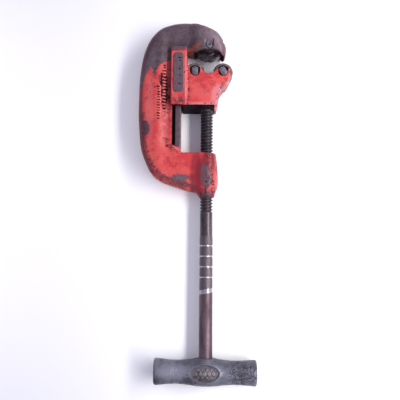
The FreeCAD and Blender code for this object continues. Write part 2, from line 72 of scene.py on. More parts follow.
screw_low, screw_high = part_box("feed_screw")
frame_low, frame_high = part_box("frame")
THICKNESS = (frame_high.z - frame_low.z) / MM
MID = THICKNESS / 2
BOSS_BOTTOM = -3.4
SHIFT = Vector((
    (screw_low.x + screw_high.x) / 2,
    frame_low.y - BOSS_BOTTOM * MM,
    (screw_low.z + screw_high.z) / 2 - MID * MM,
))

# ---- Sizes of the castings ----

PLATE_HALF = 13.0
RIDGE_HALF = 16.0
SPINE_INSIDE = -46.0
ARM_TOP = 57.8
HOOK_UNDERSIDE = 196.3
HOOK_SPLIT = 150.0
NOSE = (21.5, 188.0)
NOSE_SIDE = (25.8, 199.4)
CROWN = (
    (22.8, 212.4), (14.3, 227.0), (-2.0, 235.8), (-31.5, 241.6), (-59.0, 235.0), (-76.0, 219.5),
    (-86.0, 197.0), (-91.0, 167.0), (-92.4, 135.0), (-91.4, 92.0), (-86.4, 56.0), (-70.8, 26.0),
    (-38.0, 10.2), (-4.0, 3.2),
)
# (place along the axis, radius)
BOSS_PROFILE = ((BOSS_BOTTOM, 9.8), (4.0, 11.9), (13.0, 14.6), (24.0, 15.3), (42.0, 14.2), (ARM_TOP, 12.2))

RAIL_BACK = -43.0
RAIL_FRONT = -35.2
RAIL_HALF_WIDTH = 10.0
RAIL_BOTTOM = 69.0
RAIL_TOP = 198.0
T_NECK_HALF_WIDTH = 5.0
SLIDE_GAP = 0.35      # between the rail and the housing

JAW_X = 2.5
WHEEL_Y = 206.3
WHEEL_RADIUS = 19.8
FORK_RADIUS = 20.5
FORK_HALF_WIDTH = 10.4
WHEEL_PIN_POCKET = 5.5
ROLLER_PIN_POCKET = 6.7
ROLLER_Y = 169.0
ROLLER_OFFSET = 19.2
ROLLER_RADIUS = 13.3
LEFT_ROLLER = JAW_X - ROLLER_OFFSET
RIGHT_ROLLER = JAW_X + ROLLER_OFFSET
PIN_RADIUS = 4.5
CLIP_POCKET_RADIUS = 7.6
CLIP_POCKET_HEIGHT = 4.2

HOUSING_BOTTOM = 121.5
HOUSING_TOP = 204.0
HOUSING_LEFT = -50.0
BLOCK_RIGHT = -27.2
CHEEK_HALF = 16.6
CHEEK_GAP_HALF = 11.0  # half the room between the cheeks for the rollers
NOSE_PINS = (133.3, 7.0, 1.95)  # y, distance from the screw's axis, radius
PAD = (-45.9, -31.6, 138.2, 194.3)  # left, right, bottom, top
PAD_CORNER = 5.0
PAD_PROUD = 0.5

THREAD_LEAD = 25.4 / 6
THREAD_RADIUS = 8.4
THREAD_ROOT = 6.7
THREAD_BOTTOM = -23.0
THREAD_TOP = 116.0
SHANK_RADIUS = 8.8
NECK_BOTTOM = -54.0
KNURL_BOTTOM = -124.0
GRIP_GROOVES = (-67.0, -80.8, -94.6, -108.4)
SLANT_MIDDLE = -126.0
NOSE_RADIUS = 6.6

HANDLE_Y = -229.4
HANDLE_HALF_LENGTH = 66.2
HANDLE_MIDDLE = -0.5
HANDLE_PROFILE = (
    (0.0, 18.0), (12.0, 17.5), (24.0, 16.0), (36.0, 15.1), (50.0, 15.6), (60.0, 16.7), (70.0, 17.5),
)
HUB_TOP = -211.5
MEDALLION = (-1.4, 18.8, 10.8, 0.9)  # middle x, half width, half height, depth


# ---- Distance fields ----


def smoothstep(low, high, value):
    t = np.clip((value - low) / (high - low), 0, 1)
    return t * t * (3 - 2 * t)


def smooth_min(a, b, size):
    """The union of two fields with a fillet of about the given size."""
    h = np.clip(0.5 + 0.5 * (b - a) / size, 0, 1)
    return b + (a - b) * h - size * h * (1 - h)


def smooth_max(a, b, size):
    """The overlap of two fields with a rounded edge."""
    return -smooth_min(-a, -b, size)


def arc_points(start, middle, end, count=10):
    """Points along the circle through three points, without the last one."""
    a, b, c = (complex(*p) for p in (start, middle, end))
    w = (c - a) / (b - a)
    centre = (a - b) * (w - abs(w) ** 2) / (2j * w.imag) - a
    radius = abs(a + centre)
    first, mid, last = (math.atan2((p + centre).imag, (p + centre).real) for p in (a, b, c))
    turn = (last - first) % math.tau
    if (mid - first) % math.tau > turn:
        turn -= math.tau
    angles = [first + turn * i / count for i in range(count)]
    return [(radius * math.cos(t) - centre.real, radius * math.sin(t) - centre.imag) for t in angles]


def curve_points(points, step=3.0):
    """A smooth curve through points, spaced about a step apart."""
    p = np.array(points, float)
    gaps = np.hypot(*np.diff(p, axis=0).T)
    at = np.concatenate([[0], np.cumsum(gaps)])
    slopes = np.diff(p, axis=0) / gaps[:, None]
    inner = (slopes[:-1] * gaps[1:, None] + slopes[1:] * gaps[:-1, None]) / (gaps[1:] + gaps[:-1])[:, None]
    slope = np.vstack([2 * slopes[0] - inner[0], inner, 2 * slopes[-1] - inner[-1]])
    along = np.linspace(0, at[-1], int(at[-1] / step) + 1)
    i = np.clip(np.searchsorted(at, along, side="right") - 1, 0, len(gaps) - 1)
    t = ((along - at[i]) / gaps[i])[:, None]
    g = gaps[i][:, None]
    curve = (
        (2 * t**3 - 3 * t**2 + 1) * p[i] + (t**3 - 2 * t**2 + t) * g * slope[i]
        + (3 * t**2 - 2 * t**3) * p[i + 1] + (t**3 - t**2) * g * slope[i + 1]
    )
    return [tuple(q) for q in curve]


def outline(x, y, corners):
    """Signed distance to a closed outline in the XY plane, negative inside."""
    best = np.full(np.broadcast(x, y).shape, 1e9)
    inside = np.zeros(best.shape, bool)
    for (ax, ay), (bx, by) in zip(corners, corners[1:] + corners[:1]):
        ex, ey = bx - ax, by - ay
        length = ex * ex + ey * ey
        if length < 1e-9:
            continue
        t = np.clip(((x - ax) * ex + (y - ay) * ey) / length, 0, 1)
        best = np.minimum(best, (x - ax - t * ex) ** 2 + (y - ay - t * ey) ** 2)
        if abs(ey) > 1e-9:
            inside ^= ((ay > y) != (by > y)) & (x < ex * (y - ay) / ey + ax)
    return np.where(inside, -1.0, 1.0) * np.sqrt(best)


def slab(edge, w, half, width, drop, power):
    """A plate about w = 0, whose rim falls away over a width and by a drop, as a superellipse."""
    a = np.maximum(edge + width, 0) / width
    b = np.maximum(np.abs(w) - (half - drop), 0) / drop
    return ((a**power + b**power) ** (1 / power) - 1) * np.minimum(width, drop)


def past(value, low, high):
    """How far a value lies past two limits, negative between them."""
    return np.abs(value - (low + high) / 2) - (high - low) / 2


def rounded(edge, *overhangs):
    """A solid with round edges, from how far a point lies past each pair of its faces."""
    grown = [overhang + edge for overhang in overhangs]
    outside = np.sqrt(sum(np.maximum(g, 0) ** 2 for g in grown))
    return outside + np.minimum(reduce(np.maximum, grown), 0) - edge


def block(x, y, z, x0, x1, y0, y1, z0, z1, edge=0.5):
    """A box with rounded edges."""
    return rounded(edge, past(x, x0, x1), past(y, y0, y1), past(z, z0, z1))


def drum(across, along, radius, low, high, edge=0.5):
    """A round bar from its distance across the axis and its place along it."""
    return rounded(edge, across - radius, past(along, low, high))


def to_axis(x, y, axis_x, axis_y):
    """Distance from an upright axis."""
    return np.sqrt((x - axis_x) ** 2 + (y - axis_y) ** 2)


def to_slot(x, y, axis_x, axis_y):
    """Distance from an upright axis and from the slot that opens from it along Y."""
    return np.sqrt((x - axis_x) ** 2 + np.minimum(y - axis_y, 0) ** 2)


def capsule(x, y, z, start, end, radius):
    """A round rib between two points."""
    ax, ay, az = start
    ex, ey, ez = (q - p for p, q in zip(start, end))
    t = np.clip(((x - ax) * ex + (y - ay) * ey + (z - az) * ez) / (ex * ex + ey * ey + ez * ez), 0, 1)
    return np.sqrt((x - ax - t * ex) ** 2 + (y - ay - t * ey) ** 2 + (z - az - t * ez) ** 2) - radius


# ---- Cast roughness ----


def lumps(points, size, seed):
    """Smooth seeded noise from -1 to 1 at points, with lumps of a given size."""
    table = np.random.default_rng(seed).uniform(-1, 1, (32, 32, 32))
    q = points / size
    cell = np.floor(q).astype(int)
    f = q - cell
    f = f * f * (3 - 2 * f)
    total = np.zeros(len(points))
    for corner in range(8):
        step = np.array([corner & 1, corner >> 1 & 1, corner >> 2 & 1])
        weight = np.prod(np.where(step, f, 1 - f), axis=1)
        i = (cell + step) % 32
        total += weight * table[i[:, 0], i[:, 1], i[:, 2]]
    return total


# ---- Meshes ----


def in_frame(points):
    """Points in drawing millimetres as places in the frame, in metres."""
    return points * MM + np.array(SHIFT)


def new_mesh(name, points, faces, material):
    """A smooth-shaded object from points in drawing millimetres."""
    mesh = bpy.data.meshes.new(name)
    mesh.from_pydata(in_frame(points).tolist(), [], faces)
    mesh.update()
    mesh.shade_smooth()
    mesh.materials.append(material)
    made = bpy.data.objects.new(name, mesh)
    bpy.context.scene.collection.objects.link(made)
    return made


def normals_of(made):
    values = np.empty(len(made.data.vertices) * 3, np.float32)
    made.data.vertex_normals.foreach_get("vector", values)
    return values.reshape(-1, 3)


def cast(name, field, low, high, step, material, rough, seed):
    """Meshes a field over a box of space and roughens it like a casting.

    Returns the object with its points and normals."""
    axes = [np.arange(a, b + step, step) for a, b in zip(low, high)]
    x, y, z = np.meshgrid(*axes, indexing="ij", sparse=True)
    volume = openvdb.FloatGrid(10.0)
    volume.copyFromArray(np.ascontiguousarray(field(x, y, z), np.float32))
    points, faces = volume.convertToQuads(0.0)
    points = np.array(points, float) * step + np.array(low, float)
    faces = np.array(faces, int)
    a, b, c, d = (points[faces[:, k]] for k in range(4))
    if (a * (np.cross(b, c) + np.cross(c, d))).sum() < 0:
        faces = faces[:, ::-1]
    made = new_mesh(name, points, faces.tolist(), material)
    normals = normals_of(made)
    bump = 0.65 * lumps(points, 11.0, seed) + 0.35 * lumps(points, 4.0, seed + 1)
    points = points + normals * (rough * bump)[:, None]
    made.data.vertices.foreach_set("co", in_frame(points).ravel())
    made.data.update()
    return made, points, normals


def vertex_layers(made, **layers):
    """Keeps values from 0 to 1 on each vertex for the material to read."""
    for name, values in layers.items():
        layer = made.data.attributes.new(name, "FLOAT", "POINT")
        layer.data.foreach_set("value", np.clip(values, 0, 1).astype(np.float32))


def spot(points, x, y, half_x, half_y, turn=0.0, soft=0.35):
    """1 inside an ellipse seen from above, falling to 0 over a soft share of its size."""
    t = math.radians(turn)
    u = (points[:, 0] - x) * math.cos(t) + (points[:, 1] - y) * math.sin(t)
    v = -(points[:, 0] - x) * math.sin(t) + (points[:, 1] - y) * math.cos(t)
    return 1 - smoothstep(1 - soft, 1 + soft, np.sqrt((u / half_x) ** 2 + (v / half_y) ** 2))


def stains(points, *ellipses):
    """The sum of soft ellipses, each given as its strength and then as spot takes it."""
    return sum(strength * spot(points, *ellipse) for strength, *ellipse in ellipses)


def highest(*layers):
    """The highest of several layers at each point."""
    return reduce(np.maximum, layers)


def band(value, low, high, soft):
    """1 between two limits, falling to 0 over a soft distance."""
    return smoothstep(low - soft, low + soft, value) * (1 - smoothstep(high - soft, high + soft, value))


def near(value, place, width):
    """1 at a place, falling away either side like a bell of a given half width."""
    return np.exp(-(((value - place) / width) ** 2))


def lathe(name, sections, centre, axis, sides, material, radius_at=None):
    """A turned part from (place along the axis, radius) sections, closed at both ends by a fan of triangles.

    radius_at(angles, place, radius) may give each section its own radius round the axis."""
    along = Vector(axis)
    side = along.orthogonal().normalized()
    up = along.cross(side)
    if abs(along.y) > 0.5:
        side, up = Vector((0, 0, 1)), Vector((1, 0, 0))
    angles = np.arange(sides) * math.tau / sides
    ring = np.outer(np.cos(angles), side) + np.outer(np.sin(angles), up)
    rings = []
    for place, radius in sections:
        radii = radius_at(angles, place, radius) if radius_at else np.full(sides, radius)
        rings.append(np.array(centre) + np.array(along) * place + ring * radii[:, None])
    rings += [rings[0].mean(0, keepdims=True), rings[-1].mean(0, keepdims=True)]
    around = [(k, (k + 1) % sides) for k in range(sides)]
    last = (len(sections) - 1) * sides
    faces = [(i + a, i + b, i + sides + b, i + sides + a) for i in range(0, last, sides) for a, b in around]
    faces += [(b, a, last + sides) for a, b in around]
    faces += [(last + a, last + b, last + sides + 1) for a, b in around]
    made = new_mesh(name, np.concatenate(rings), faces, material)
    first = made.data.polygons[0]
    outward = first.center - Vector(in_frame(np.array(centre)))
    outward -= along * outward.dot(along)
    if first.normal.dot(outward) < 0:
        made.data.flip_normals()
    return made


# ---- Materials ----


class Shader:
    """A node material, built from short calls."""

    def __init__(self, name):
        self.material = bpy.data.materials.new(name)
        self.material.use_nodes = True
        self.nodes = self.material.node_tree.nodes
        self.links = self.material.node_tree.links
        self.nodes.clear()
        self.output = self.nodes.new("ShaderNodeOutputMaterial")
        self.skin = self.nodes.new("ShaderNodeBsdfPrincipled")
        self.links.new(self.skin.outputs[0], self.output.inputs[0])
        self.place = self.nodes.new("ShaderNodeTexCoord").outputs["Object"]

    def _set(self, socket, value):
        if isinstance(value, bpy.types.NodeSocket):
            self.links.new(value, socket)
        elif isinstance(value, tuple) and len(value) == 3 and socket.type == "RGBA":
            socket.default_value = (*value, 1.0)
        else:
            socket.default_value = value

    def skin_set(self, **inputs):
        for name, value in inputs.items():
            self._set(self.skin.inputs[name.replace("_", " ")], value)

    def attribute(self, name):
        node = self.nodes.new("ShaderNodeAttribute")
        node.attribute_name = name
        return node.outputs["Fac"]

    def noise(self, size_mm, detail=4.0, rough=0.55, stretch=(1, 1, 1), offset=0.0, warp=0.0):
        """Noise with lumps of a size in millimetres, from about 0.25 to 0.75."""
        mapping = self.nodes.new("ShaderNodeMapping")
        mapping.inputs["Scale"].default_value = stretch
        mapping.inputs["Location"].default_value = (offset, offset * 0.7, offset * 1.3)
        self.links.new(self.place, mapping.inputs["Vector"])
        node = self.nodes.new("ShaderNodeTexNoise")
        node.inputs["Scale"].default_value = 1 / (size_mm * MM)
        node.inputs["Detail"].default_value = detail
        node.inputs["Roughness"].default_value = rough
        node.inputs["Distortion"].default_value = warp
        self.links.new(mapping.outputs[0], node.inputs["Vector"])
        return node.outputs["Fac"]

    def spots(self, size_mm):
        """Distance to scattered points, from 0 at a point."""
        node = self.nodes.new("ShaderNodeTexVoronoi")
        node.inputs["Scale"].default_value = 1 / (size_mm * MM)
        self.links.new(self.place, node.inputs["Vector"])
        return node.outputs["Distance"]

    def math(self, kind, *values):
        node = self.nodes.new("ShaderNodeMath")
        node.operation = kind
        for socket, value in zip(node.inputs, values):
            self._set(socket, value)
        return node.outputs[0]

    def add(self, a, b):
        return self.math("ADD", a, b)

    def times(self, a, b):
        return self.math("MULTIPLY", a, b)

    def centred(self, noise):
        """Noise moved to lie about nought."""
        return self.add(noise, -0.5)

    def total(self, *terms):
        """The sum of terms, each as a value and its weight."""
        return reduce(self.add, [self.times(*term) for term in terms])

    def ramp(self, value, low, high, out_low=0.0, out_high=1.0, kind="SMOOTHSTEP"):
        """Maps a value between two limits to a new range, clamped and smoothed."""
        node = self.nodes.new("ShaderNodeMapRange")
        node.interpolation_type = kind
        names = ("Value", "From Min", "From Max", "To Min", "To Max")
        for name, setting in zip(names, (value, low, high, out_low, out_high)):
            self._set(node.inputs[name], setting)
        return node.outputs[0]

    def mix(self, factor, a, b):
        """A colour between two colours."""
        node = self.nodes.new("ShaderNodeMix")
        node.data_type = "RGBA"
        self._set(node.inputs[0], factor)
        self._set(node.inputs[6], a)
        self._set(node.inputs[7], b)
        return node.outputs[2]

    def bump(self, height, depth_mm, strength=1.0, below=None):
        """Relief from a height of 0 to 1."""
        node = self.nodes.new("ShaderNodeBump")
        node.inputs["Strength"].default_value = strength
        node.inputs["Distance"].default_value = depth_mm * MM
        self._set(node.inputs["Height"], height)
        if below is not None:
            self._set(node.inputs["Normal"], below)
        return node.outputs[0]


def painted_casting(name):
    """Old red enamel over a casting, chipped to dark metal where the wear on the vertices says, with dirt,
    painted shade and painted highlight also read from the vertices.
    """
    s = Shader(name)
    broad = s.noise(34, 3, 0.5)
    medium = s.noise(8, 5, 0.65, offset=3.0, warp=0.4)
    fine = s.noise(2.4, 5, 0.65, offset=7.0)
    grit = s.noise(0.9, 3, 0.6, offset=11.0)
    off_medium, off_fine, off_grit = s.centred(medium), s.centred(fine), s.centred(grit)
    rough_edge = s.total((off_medium, 1.1), (off_fine, 1.1), (off_grit, 0.5))
    bare = s.ramp(s.add(s.attribute("bare"), rough_edge), 0.42, 0.58)
    speckle = s.total((off_fine, 2.6), (off_grit, 1.4), (off_medium, 0.8))
    chips = s.ramp(s.add(s.attribute("chips"), speckle), 0.58, 0.74)
    bare = s.math("MAXIMUM", bare, s.times(chips, 0.9))
    coral, scarlet = (0.615, 0.080, 0.074), (0.540, 0.040, 0.045)
    deep, pink = (0.240, 0.014, 0.024), (0.640, 0.185, 0.200)
    paint = s.mix(s.ramp(s.add(broad, s.times(off_medium, 0.8)), 0.42, 0.62), coral, scarlet)
    # The deep layer darkens the paint, partly as painted shade; the pale layer pales it, partly as painted
    # highlight
    paint = s.mix(s.ramp(s.add(s.attribute("deep"), s.times(off_medium, 0.7)), 0.1, 0.9), paint, deep)
    paint = s.mix(s.times(s.ramp(s.add(s.attribute("pale"), off_medium), 0.15, 0.9), 0.9), paint, pink)
    brown_stain = s.ramp(s.add(medium, s.times(off_fine, 0.7)), 0.56, 0.72)
    paint = s.mix(s.times(brown_stain, 0.45), paint, (0.205, 0.030, 0.032))
    paint = s.mix(s.times(s.ramp(fine, 0.60, 0.74), 0.55), paint, (0.150, 0.026, 0.030))
    metal = s.mix(s.ramp(medium, 0.35, 0.65), (0.070, 0.043, 0.053), (0.118, 0.078, 0.094))
    metal = s.mix(s.attribute("deep"), metal, (0.145, 0.042, 0.058))
    # The bright layer lightens the metal, partly as painted highlight
    metal = s.mix(s.attribute("bright"), metal, (0.235, 0.172, 0.205))
    metal = s.mix(s.times(s.ramp(fine, 0.50, 0.68), 0.6), metal, (0.045, 0.026, 0.034))
    metal = s.mix(s.times(s.ramp(grit, 0.55, 0.75), 0.30), metal, (0.26, 0.21, 0.235))
    colour = s.mix(bare, paint, metal)
    rim = s.times(s.ramp(bare, 0.05, 0.4), s.ramp(bare, 0.95, 0.5))
    colour = s.mix(s.times(rim, 0.5), colour, (0.050, 0.016, 0.020))
    orange = s.ramp(s.add(s.attribute("orange"), rough_edge), 0.42, 0.62)
    rust = s.mix(s.ramp(fine, 0.4, 0.6), (0.400, 0.060, 0.035), (0.205, 0.070, 0.055))
    colour = s.mix(s.times(orange, 0.9), colour, rust)
    # Dirt and painted shade: near black where the vertices say, with less shine
    uneven_edge = s.total((off_medium, 0.8), (off_fine, 1.2), (off_grit, 0.6))
    dirt_and_shade_mix = s.ramp(s.add(s.attribute("grime"), uneven_edge), 0.35, 0.70)
    colour = s.mix(dirt_and_shade_mix, colour, (0.013, 0.007, 0.010))
    gloss = s.add(s.ramp(bare, 0, 1, 0.38, 0.46), s.times(off_medium, 0.30))
    gloss = s.add(gloss, s.times(dirt_and_shade_mix, 0.15))
    metallic = s.times(s.times(bare, s.ramp(dirt_and_shade_mix, 0, 1, 1, 0)), 0.45)
    relief = s.bump(s.noise(3.2, 4, 0.6, offset=2.0), 0.34, 0.60)
    relief = s.bump(grit, 0.12, 0.6, relief)
    relief = s.bump(s.ramp(bare, 0, 1, 1, 0), 0.16, 0.9, relief)
    s.skin_set(Base_Color=colour, Roughness=gloss, Metallic=metallic, Normal=relief,
               Specular_IOR_Level=s.ramp(dirt_and_shade_mix, 0, 1, 0.35, 0.05))
    return s.material


def handle_casting():
    """Blue-grey galvanised casting with pits and dark blotches."""
    s = Shader("handle_casting")
    broad = s.noise(26, 3, 0.55, offset=5.0)
    medium = s.noise(7, 5, 0.65, offset=1.0)
    fine = s.noise(1.6, 4, 0.6, offset=9.0)
    colour = s.mix(s.ramp(broad, 0.38, 0.62), (0.086, 0.087, 0.115), (0.172, 0.175, 0.222))
    colour = s.mix(s.times(s.ramp(medium, 0.5, 0.70), 0.65), colour, (0.050, 0.048, 0.070))
    speckle = s.total((s.centred(medium), 0.9), (s.centred(fine), 2.2))
    blotch = s.ramp(s.add(s.attribute("blotch"), speckle), 0.42, 0.62)
    colour = s.mix(s.times(blotch, 0.9), colour, (0.032, 0.028, 0.042))
    pits = s.ramp(s.add(s.spots(2.8), s.times(fine, 0.45)), 0.36, 0.48, 1, 0)
    colour = s.mix(s.times(pits, 0.85), colour, (0.036, 0.030, 0.044))
    flecks = s.ramp(s.add(s.attribute("flecks"), s.times(s.centred(fine), 2.4)), 0.72, 0.85)
    colour = s.mix(flecks, colour, (0.66, 0.62, 0.70))
    colour = s.mix(s.attribute("pale"), colour, (0.31, 0.31, 0.37))
    bronze = s.mix(s.ramp(medium, 0.4, 0.6), (0.058, 0.051, 0.060), (0.145, 0.124, 0.138))
    colour = s.mix(s.attribute("floor"), colour, bronze)
    colour = s.mix(s.times(s.attribute("relief"), s.ramp(fine, 0.35, 0.55)), colour, (0.40, 0.35, 0.40))
    relief = s.bump(s.noise(2.6, 5, 0.65, offset=4.0), 0.34, 0.75)
    relief = s.bump(pits, -0.25, 0.8, relief)
    relief = s.bump(s.noise(0.7, 2, 0.5), 0.08, 0.5, relief)
    gloss = s.add(s.ramp(medium, 0.3, 0.7, 0.36, 0.52), s.times(blotch, 0.2))
    s.skin_set(Base_Color=colour, Roughness=gloss, Metallic=0.35, Normal=relief)
    return s.material


def screw_steel():
    """The feed screw: oily thread, brown shank, worn bright at its knurl's crests and turned rings."""
    s = Shader("screw_steel")
    long_noise = s.noise(9, 4, 0.6, stretch=(1, 0.25, 1), offset=2.0)
    medium = s.noise(4, 5, 0.6, offset=5.0)
    fine = s.noise(1.2, 3, 0.6, offset=8.0)
    brown = s.mix(s.ramp(long_noise, 0.35, 0.65), (0.070, 0.043, 0.052), (0.150, 0.100, 0.120))
    brown = s.mix(s.times(s.ramp(medium, 0.55, 0.72), 0.6), brown, (0.055, 0.035, 0.045))
    oily = s.mix(s.ramp(medium, 0.4, 0.65), (0.009, 0.007, 0.011), (0.040, 0.031, 0.038))
    grey = s.mix(s.ramp(long_noise, 0.35, 0.65), (0.030, 0.023, 0.028), (0.110, 0.090, 0.104))
    colour = s.mix(s.attribute("oil"), brown, oily)
    colour = s.mix(s.attribute("grey"), colour, grey)
    colour = s.mix(s.attribute("pit"), colour, (0.030, 0.020, 0.026))
    shine = s.times(s.attribute("polish"), s.ramp(medium, 0.25, 0.5, 0.55, 1.0))
    colour = s.mix(shine, colour, (0.62, 0.57, 0.62))
    gloss = s.add(s.ramp(shine, 0, 1, 0.48, 0.20), s.times(s.centred(fine), 0.40))
    gloss = s.add(gloss, s.times(s.attribute("grey"), -0.16))
    relief = s.bump(s.noise(1.8, 4, 0.6), 0.10, 0.6)
    metallic = s.ramp(shine, 0, 1, 0.55, 0.95, "LINEAR")
    s.skin_set(Base_Color=colour, Roughness=gloss, Metallic=metallic, Normal=relief)
    return s.material


def plain_steel(name, dark, light, gloss, metallic):
    """Worn machined or forged steel in two tones, with specks and fine scratches."""
    s = Shader(name)
    medium = s.noise(5, 5, 0.6, offset=3.0)
    fine = s.noise(1.1, 3, 0.6, offset=6.0)
    scratch = s.noise(2.5, 3, 0.7, stretch=(0.15, 1, 1), offset=4.0)
    colour = s.mix(s.ramp(medium, 0.36, 0.64), dark, light)
    colour = s.mix(s.times(s.ramp(fine, 0.56, 0.72), 0.4), colour, tuple(c * 0.25 for c in dark))
    roughness = s.add(s.ramp(medium, 0.3, 0.7, gloss - 0.06, gloss + 0.10), s.times(s.centred(fine), 0.3))
    relief = s.bump(scratch, 0.03, 0.5, s.bump(s.noise(1.6, 4, 0.6), 0.08, 0.5))
    s.skin_set(Base_Color=colour, Roughness=roughness, Metallic=metallic, Normal=relief)
    return s.material


# ---- Frame ----


def crown_outline():
    """The outside of the C, closed across the window and the jaw."""
    return arc_points(NOSE, NOSE_SIDE, CROWN[0]) + curve_points(CROWN) + [(0.0, 3.0), (0.0, 90.0)]


def window_outline():
    """The opening of the C, out past the open side."""
    return (
        [(60.0, ARM_TOP), (-38.5, ARM_TOP), (SPINE_INSIDE, RAIL_BOTTOM)]
        + arc_points((SPINE_INSIDE, 190.0), (-45.6, 194.4), (-41.2, HOOK_UNDERSIDE))
        + arc_points((-16.0, HOOK_UNDERSIDE), (0.5, 200.0), (14.5, 197.6))
        + arc_points((14.5, 197.6), (19.6, 193.8), NOSE)
        + [NOSE, (60.0, 188.0)]
    )


def marks(x, y):
    """Height of the raised marks on the spine: three columns of plain crosswise bars of uneven length."""
    height = 0.0
    for x0, half, y0, y1, pitch in (
        (-70.5, 2.0, 128.0, 154.0, 5.2), (-65.5, 2.2, 101.0, 150.0, 3.7), (-58.0, 2.9, 104.0, 176.0, 4.4),
    ):
        place = (y - y0) / pitch
        uneven = np.sin(np.floor(place) * 2.4 + x0)
        bar = np.abs(place % 1 - 0.5) * pitch
        across = np.abs(x - x0)
        end = half * (0.9 + 0.12 * uneven)
        on = (y > y0) & (y < y1)
        height = height + on * smoothstep(1.3, 0.6, bar) * smoothstep(end + 0.4, end - 0.4, across)
    return height


def frame_field(x, y, z):
    w = z - MID
    flat_x, flat_y = x[:, :, 0], y[:, :, 0]
    crown = outline(flat_x, flat_y, crown_outline())[:, :, None]
    window = -outline(flat_x, flat_y, window_outline())[:, :, None]
    in_hook = smoothstep(150, 205, y)
    half = PLATE_HALF + (RIDGE_HALF - PLATE_HALF) * smoothstep(-50.0, -68.0, x)
    half = half + (MID - PLATE_HALF) * smoothstep(-26.5, -12.0, x) * (y > HOOK_SPLIT)
    inner_fall = smoothstep(26, 2, -window) * (1 - in_hook) * smoothstep(60, 78, y)
    half = half - 3.2 * inner_fall - 0.45 * (w > 0) * (1 - marks(x, y))
    body = slab(crown, w, half, 9.5 + 8.0 * in_hook, 8.5 + 1.5 * in_hook, 1.45 + 0.55 * in_hook)
    body = smooth_max(body, slab(window, w, half, 3.0, 3.0, 2.0), 1.5)
    across = np.sqrt(x**2 + w**2)
    radius = np.interp(y, *np.array(curve_points(BOSS_PROFILE, 1.0)).T)
    boss = smooth_max(across - radius, past(y, BOSS_BOTTOM, ARM_TOP), 2.6)
    shape = smooth_min(body, boss, 6.0)
    shape = smooth_max(shape, -(y - BOSS_BOTTOM), 0.8)
    over_arm = (x > -33.0) & (y < 110.0)
    shape = np.where(over_arm, smooth_max(shape, y - ARM_TOP, 1.6), shape)
    wide, narrow = (-RAIL_HALF_WIDTH, RAIL_HALF_WIDTH), (-T_NECK_HALF_WIDTH, T_NECK_HALF_WIDTH)
    rail = block(x, y, w, RAIL_BACK, RAIL_FRONT, RAIL_BOTTOM - 2, RAIL_TOP + 2, *wide, 0.7)
    neck = block(x, y, w, SPINE_INSIDE - 3, RAIL_BACK + 1, RAIL_BOTTOM - 2, RAIL_TOP + 2, *narrow, 0.3)
    foot = block(x, y, w, SPINE_INSIDE - 3, RAIL_FRONT, ARM_TOP - 4, RAIL_BOTTOM, *wide, 2.5)
    shape = smooth_min(shape, np.minimum(rail, neck), 0.8)
    shape = smooth_min(shape, foot, 1.2)
    rib = capsule(x, y, w, (-46.8, 67.2, 10.6), (-37.6, 57.0, 11.8), 1.7)
    shape = smooth_min(shape, rib, 1.2)
    shape = smooth_max(shape, -drum(across, y, THREAD_RADIUS + 0.35, BOSS_BOTTOM - 8, ARM_TOP + 8), 0.6)
    shape = smooth_max(shape, -fork(x, y, w), 0.9)
    to_pin = to_axis(x, y, JAW_X, WHEEL_Y)
    pocket_floor = MID - 1.7 + 2.0 * smoothstep(WHEEL_Y + 4.0, WHEEL_Y + 13.0, y)
    pocket = smooth_max(to_slot(x, y, JAW_X, WHEEL_Y) - WHEEL_PIN_POCKET, pocket_floor - w, 0.5)
    shape = smooth_max(shape, -pocket, 0.7)
    shape = np.maximum(shape, -drum(to_pin, z, PIN_RADIUS + 0.1, -3, THICKNESS + 3))
    return np.maximum(shape, -drum(to_pin, z, CLIP_POCKET_RADIUS, -3, CLIP_POCKET_HEIGHT))


def fork(x, y, w):
    """The slot that the cutter wheel runs in, open below."""
    round_part = to_axis(x, y, JAW_X, WHEEL_Y) - FORK_RADIUS
    below = np.maximum(y - WHEEL_Y, HOOK_UNDERSIDE - 20 - y)
    below = np.maximum(below, np.abs(x - JAW_X) - FORK_RADIUS)
    return np.maximum(np.minimum(round_part, below), np.abs(w) - FORK_HALF_WIDTH)


def outer_distance(points):
    """How far inside the frame's outer edge each point lies."""
    return -outline(points[:, 0], points[:, 1], crown_outline())


def paint_edge(x):
    """Height at which the paint of the spine ends, worn away above it."""
    places = (-95.0, -87.5, -83.0, -77.5, -70.5, -66.0, -58.0, -40.0)
    heights = (145.0, 149.0, 167.0, 173.0, 163.0, 174.0, 181.0, 186.0)
    return np.interp(x, places, heights)


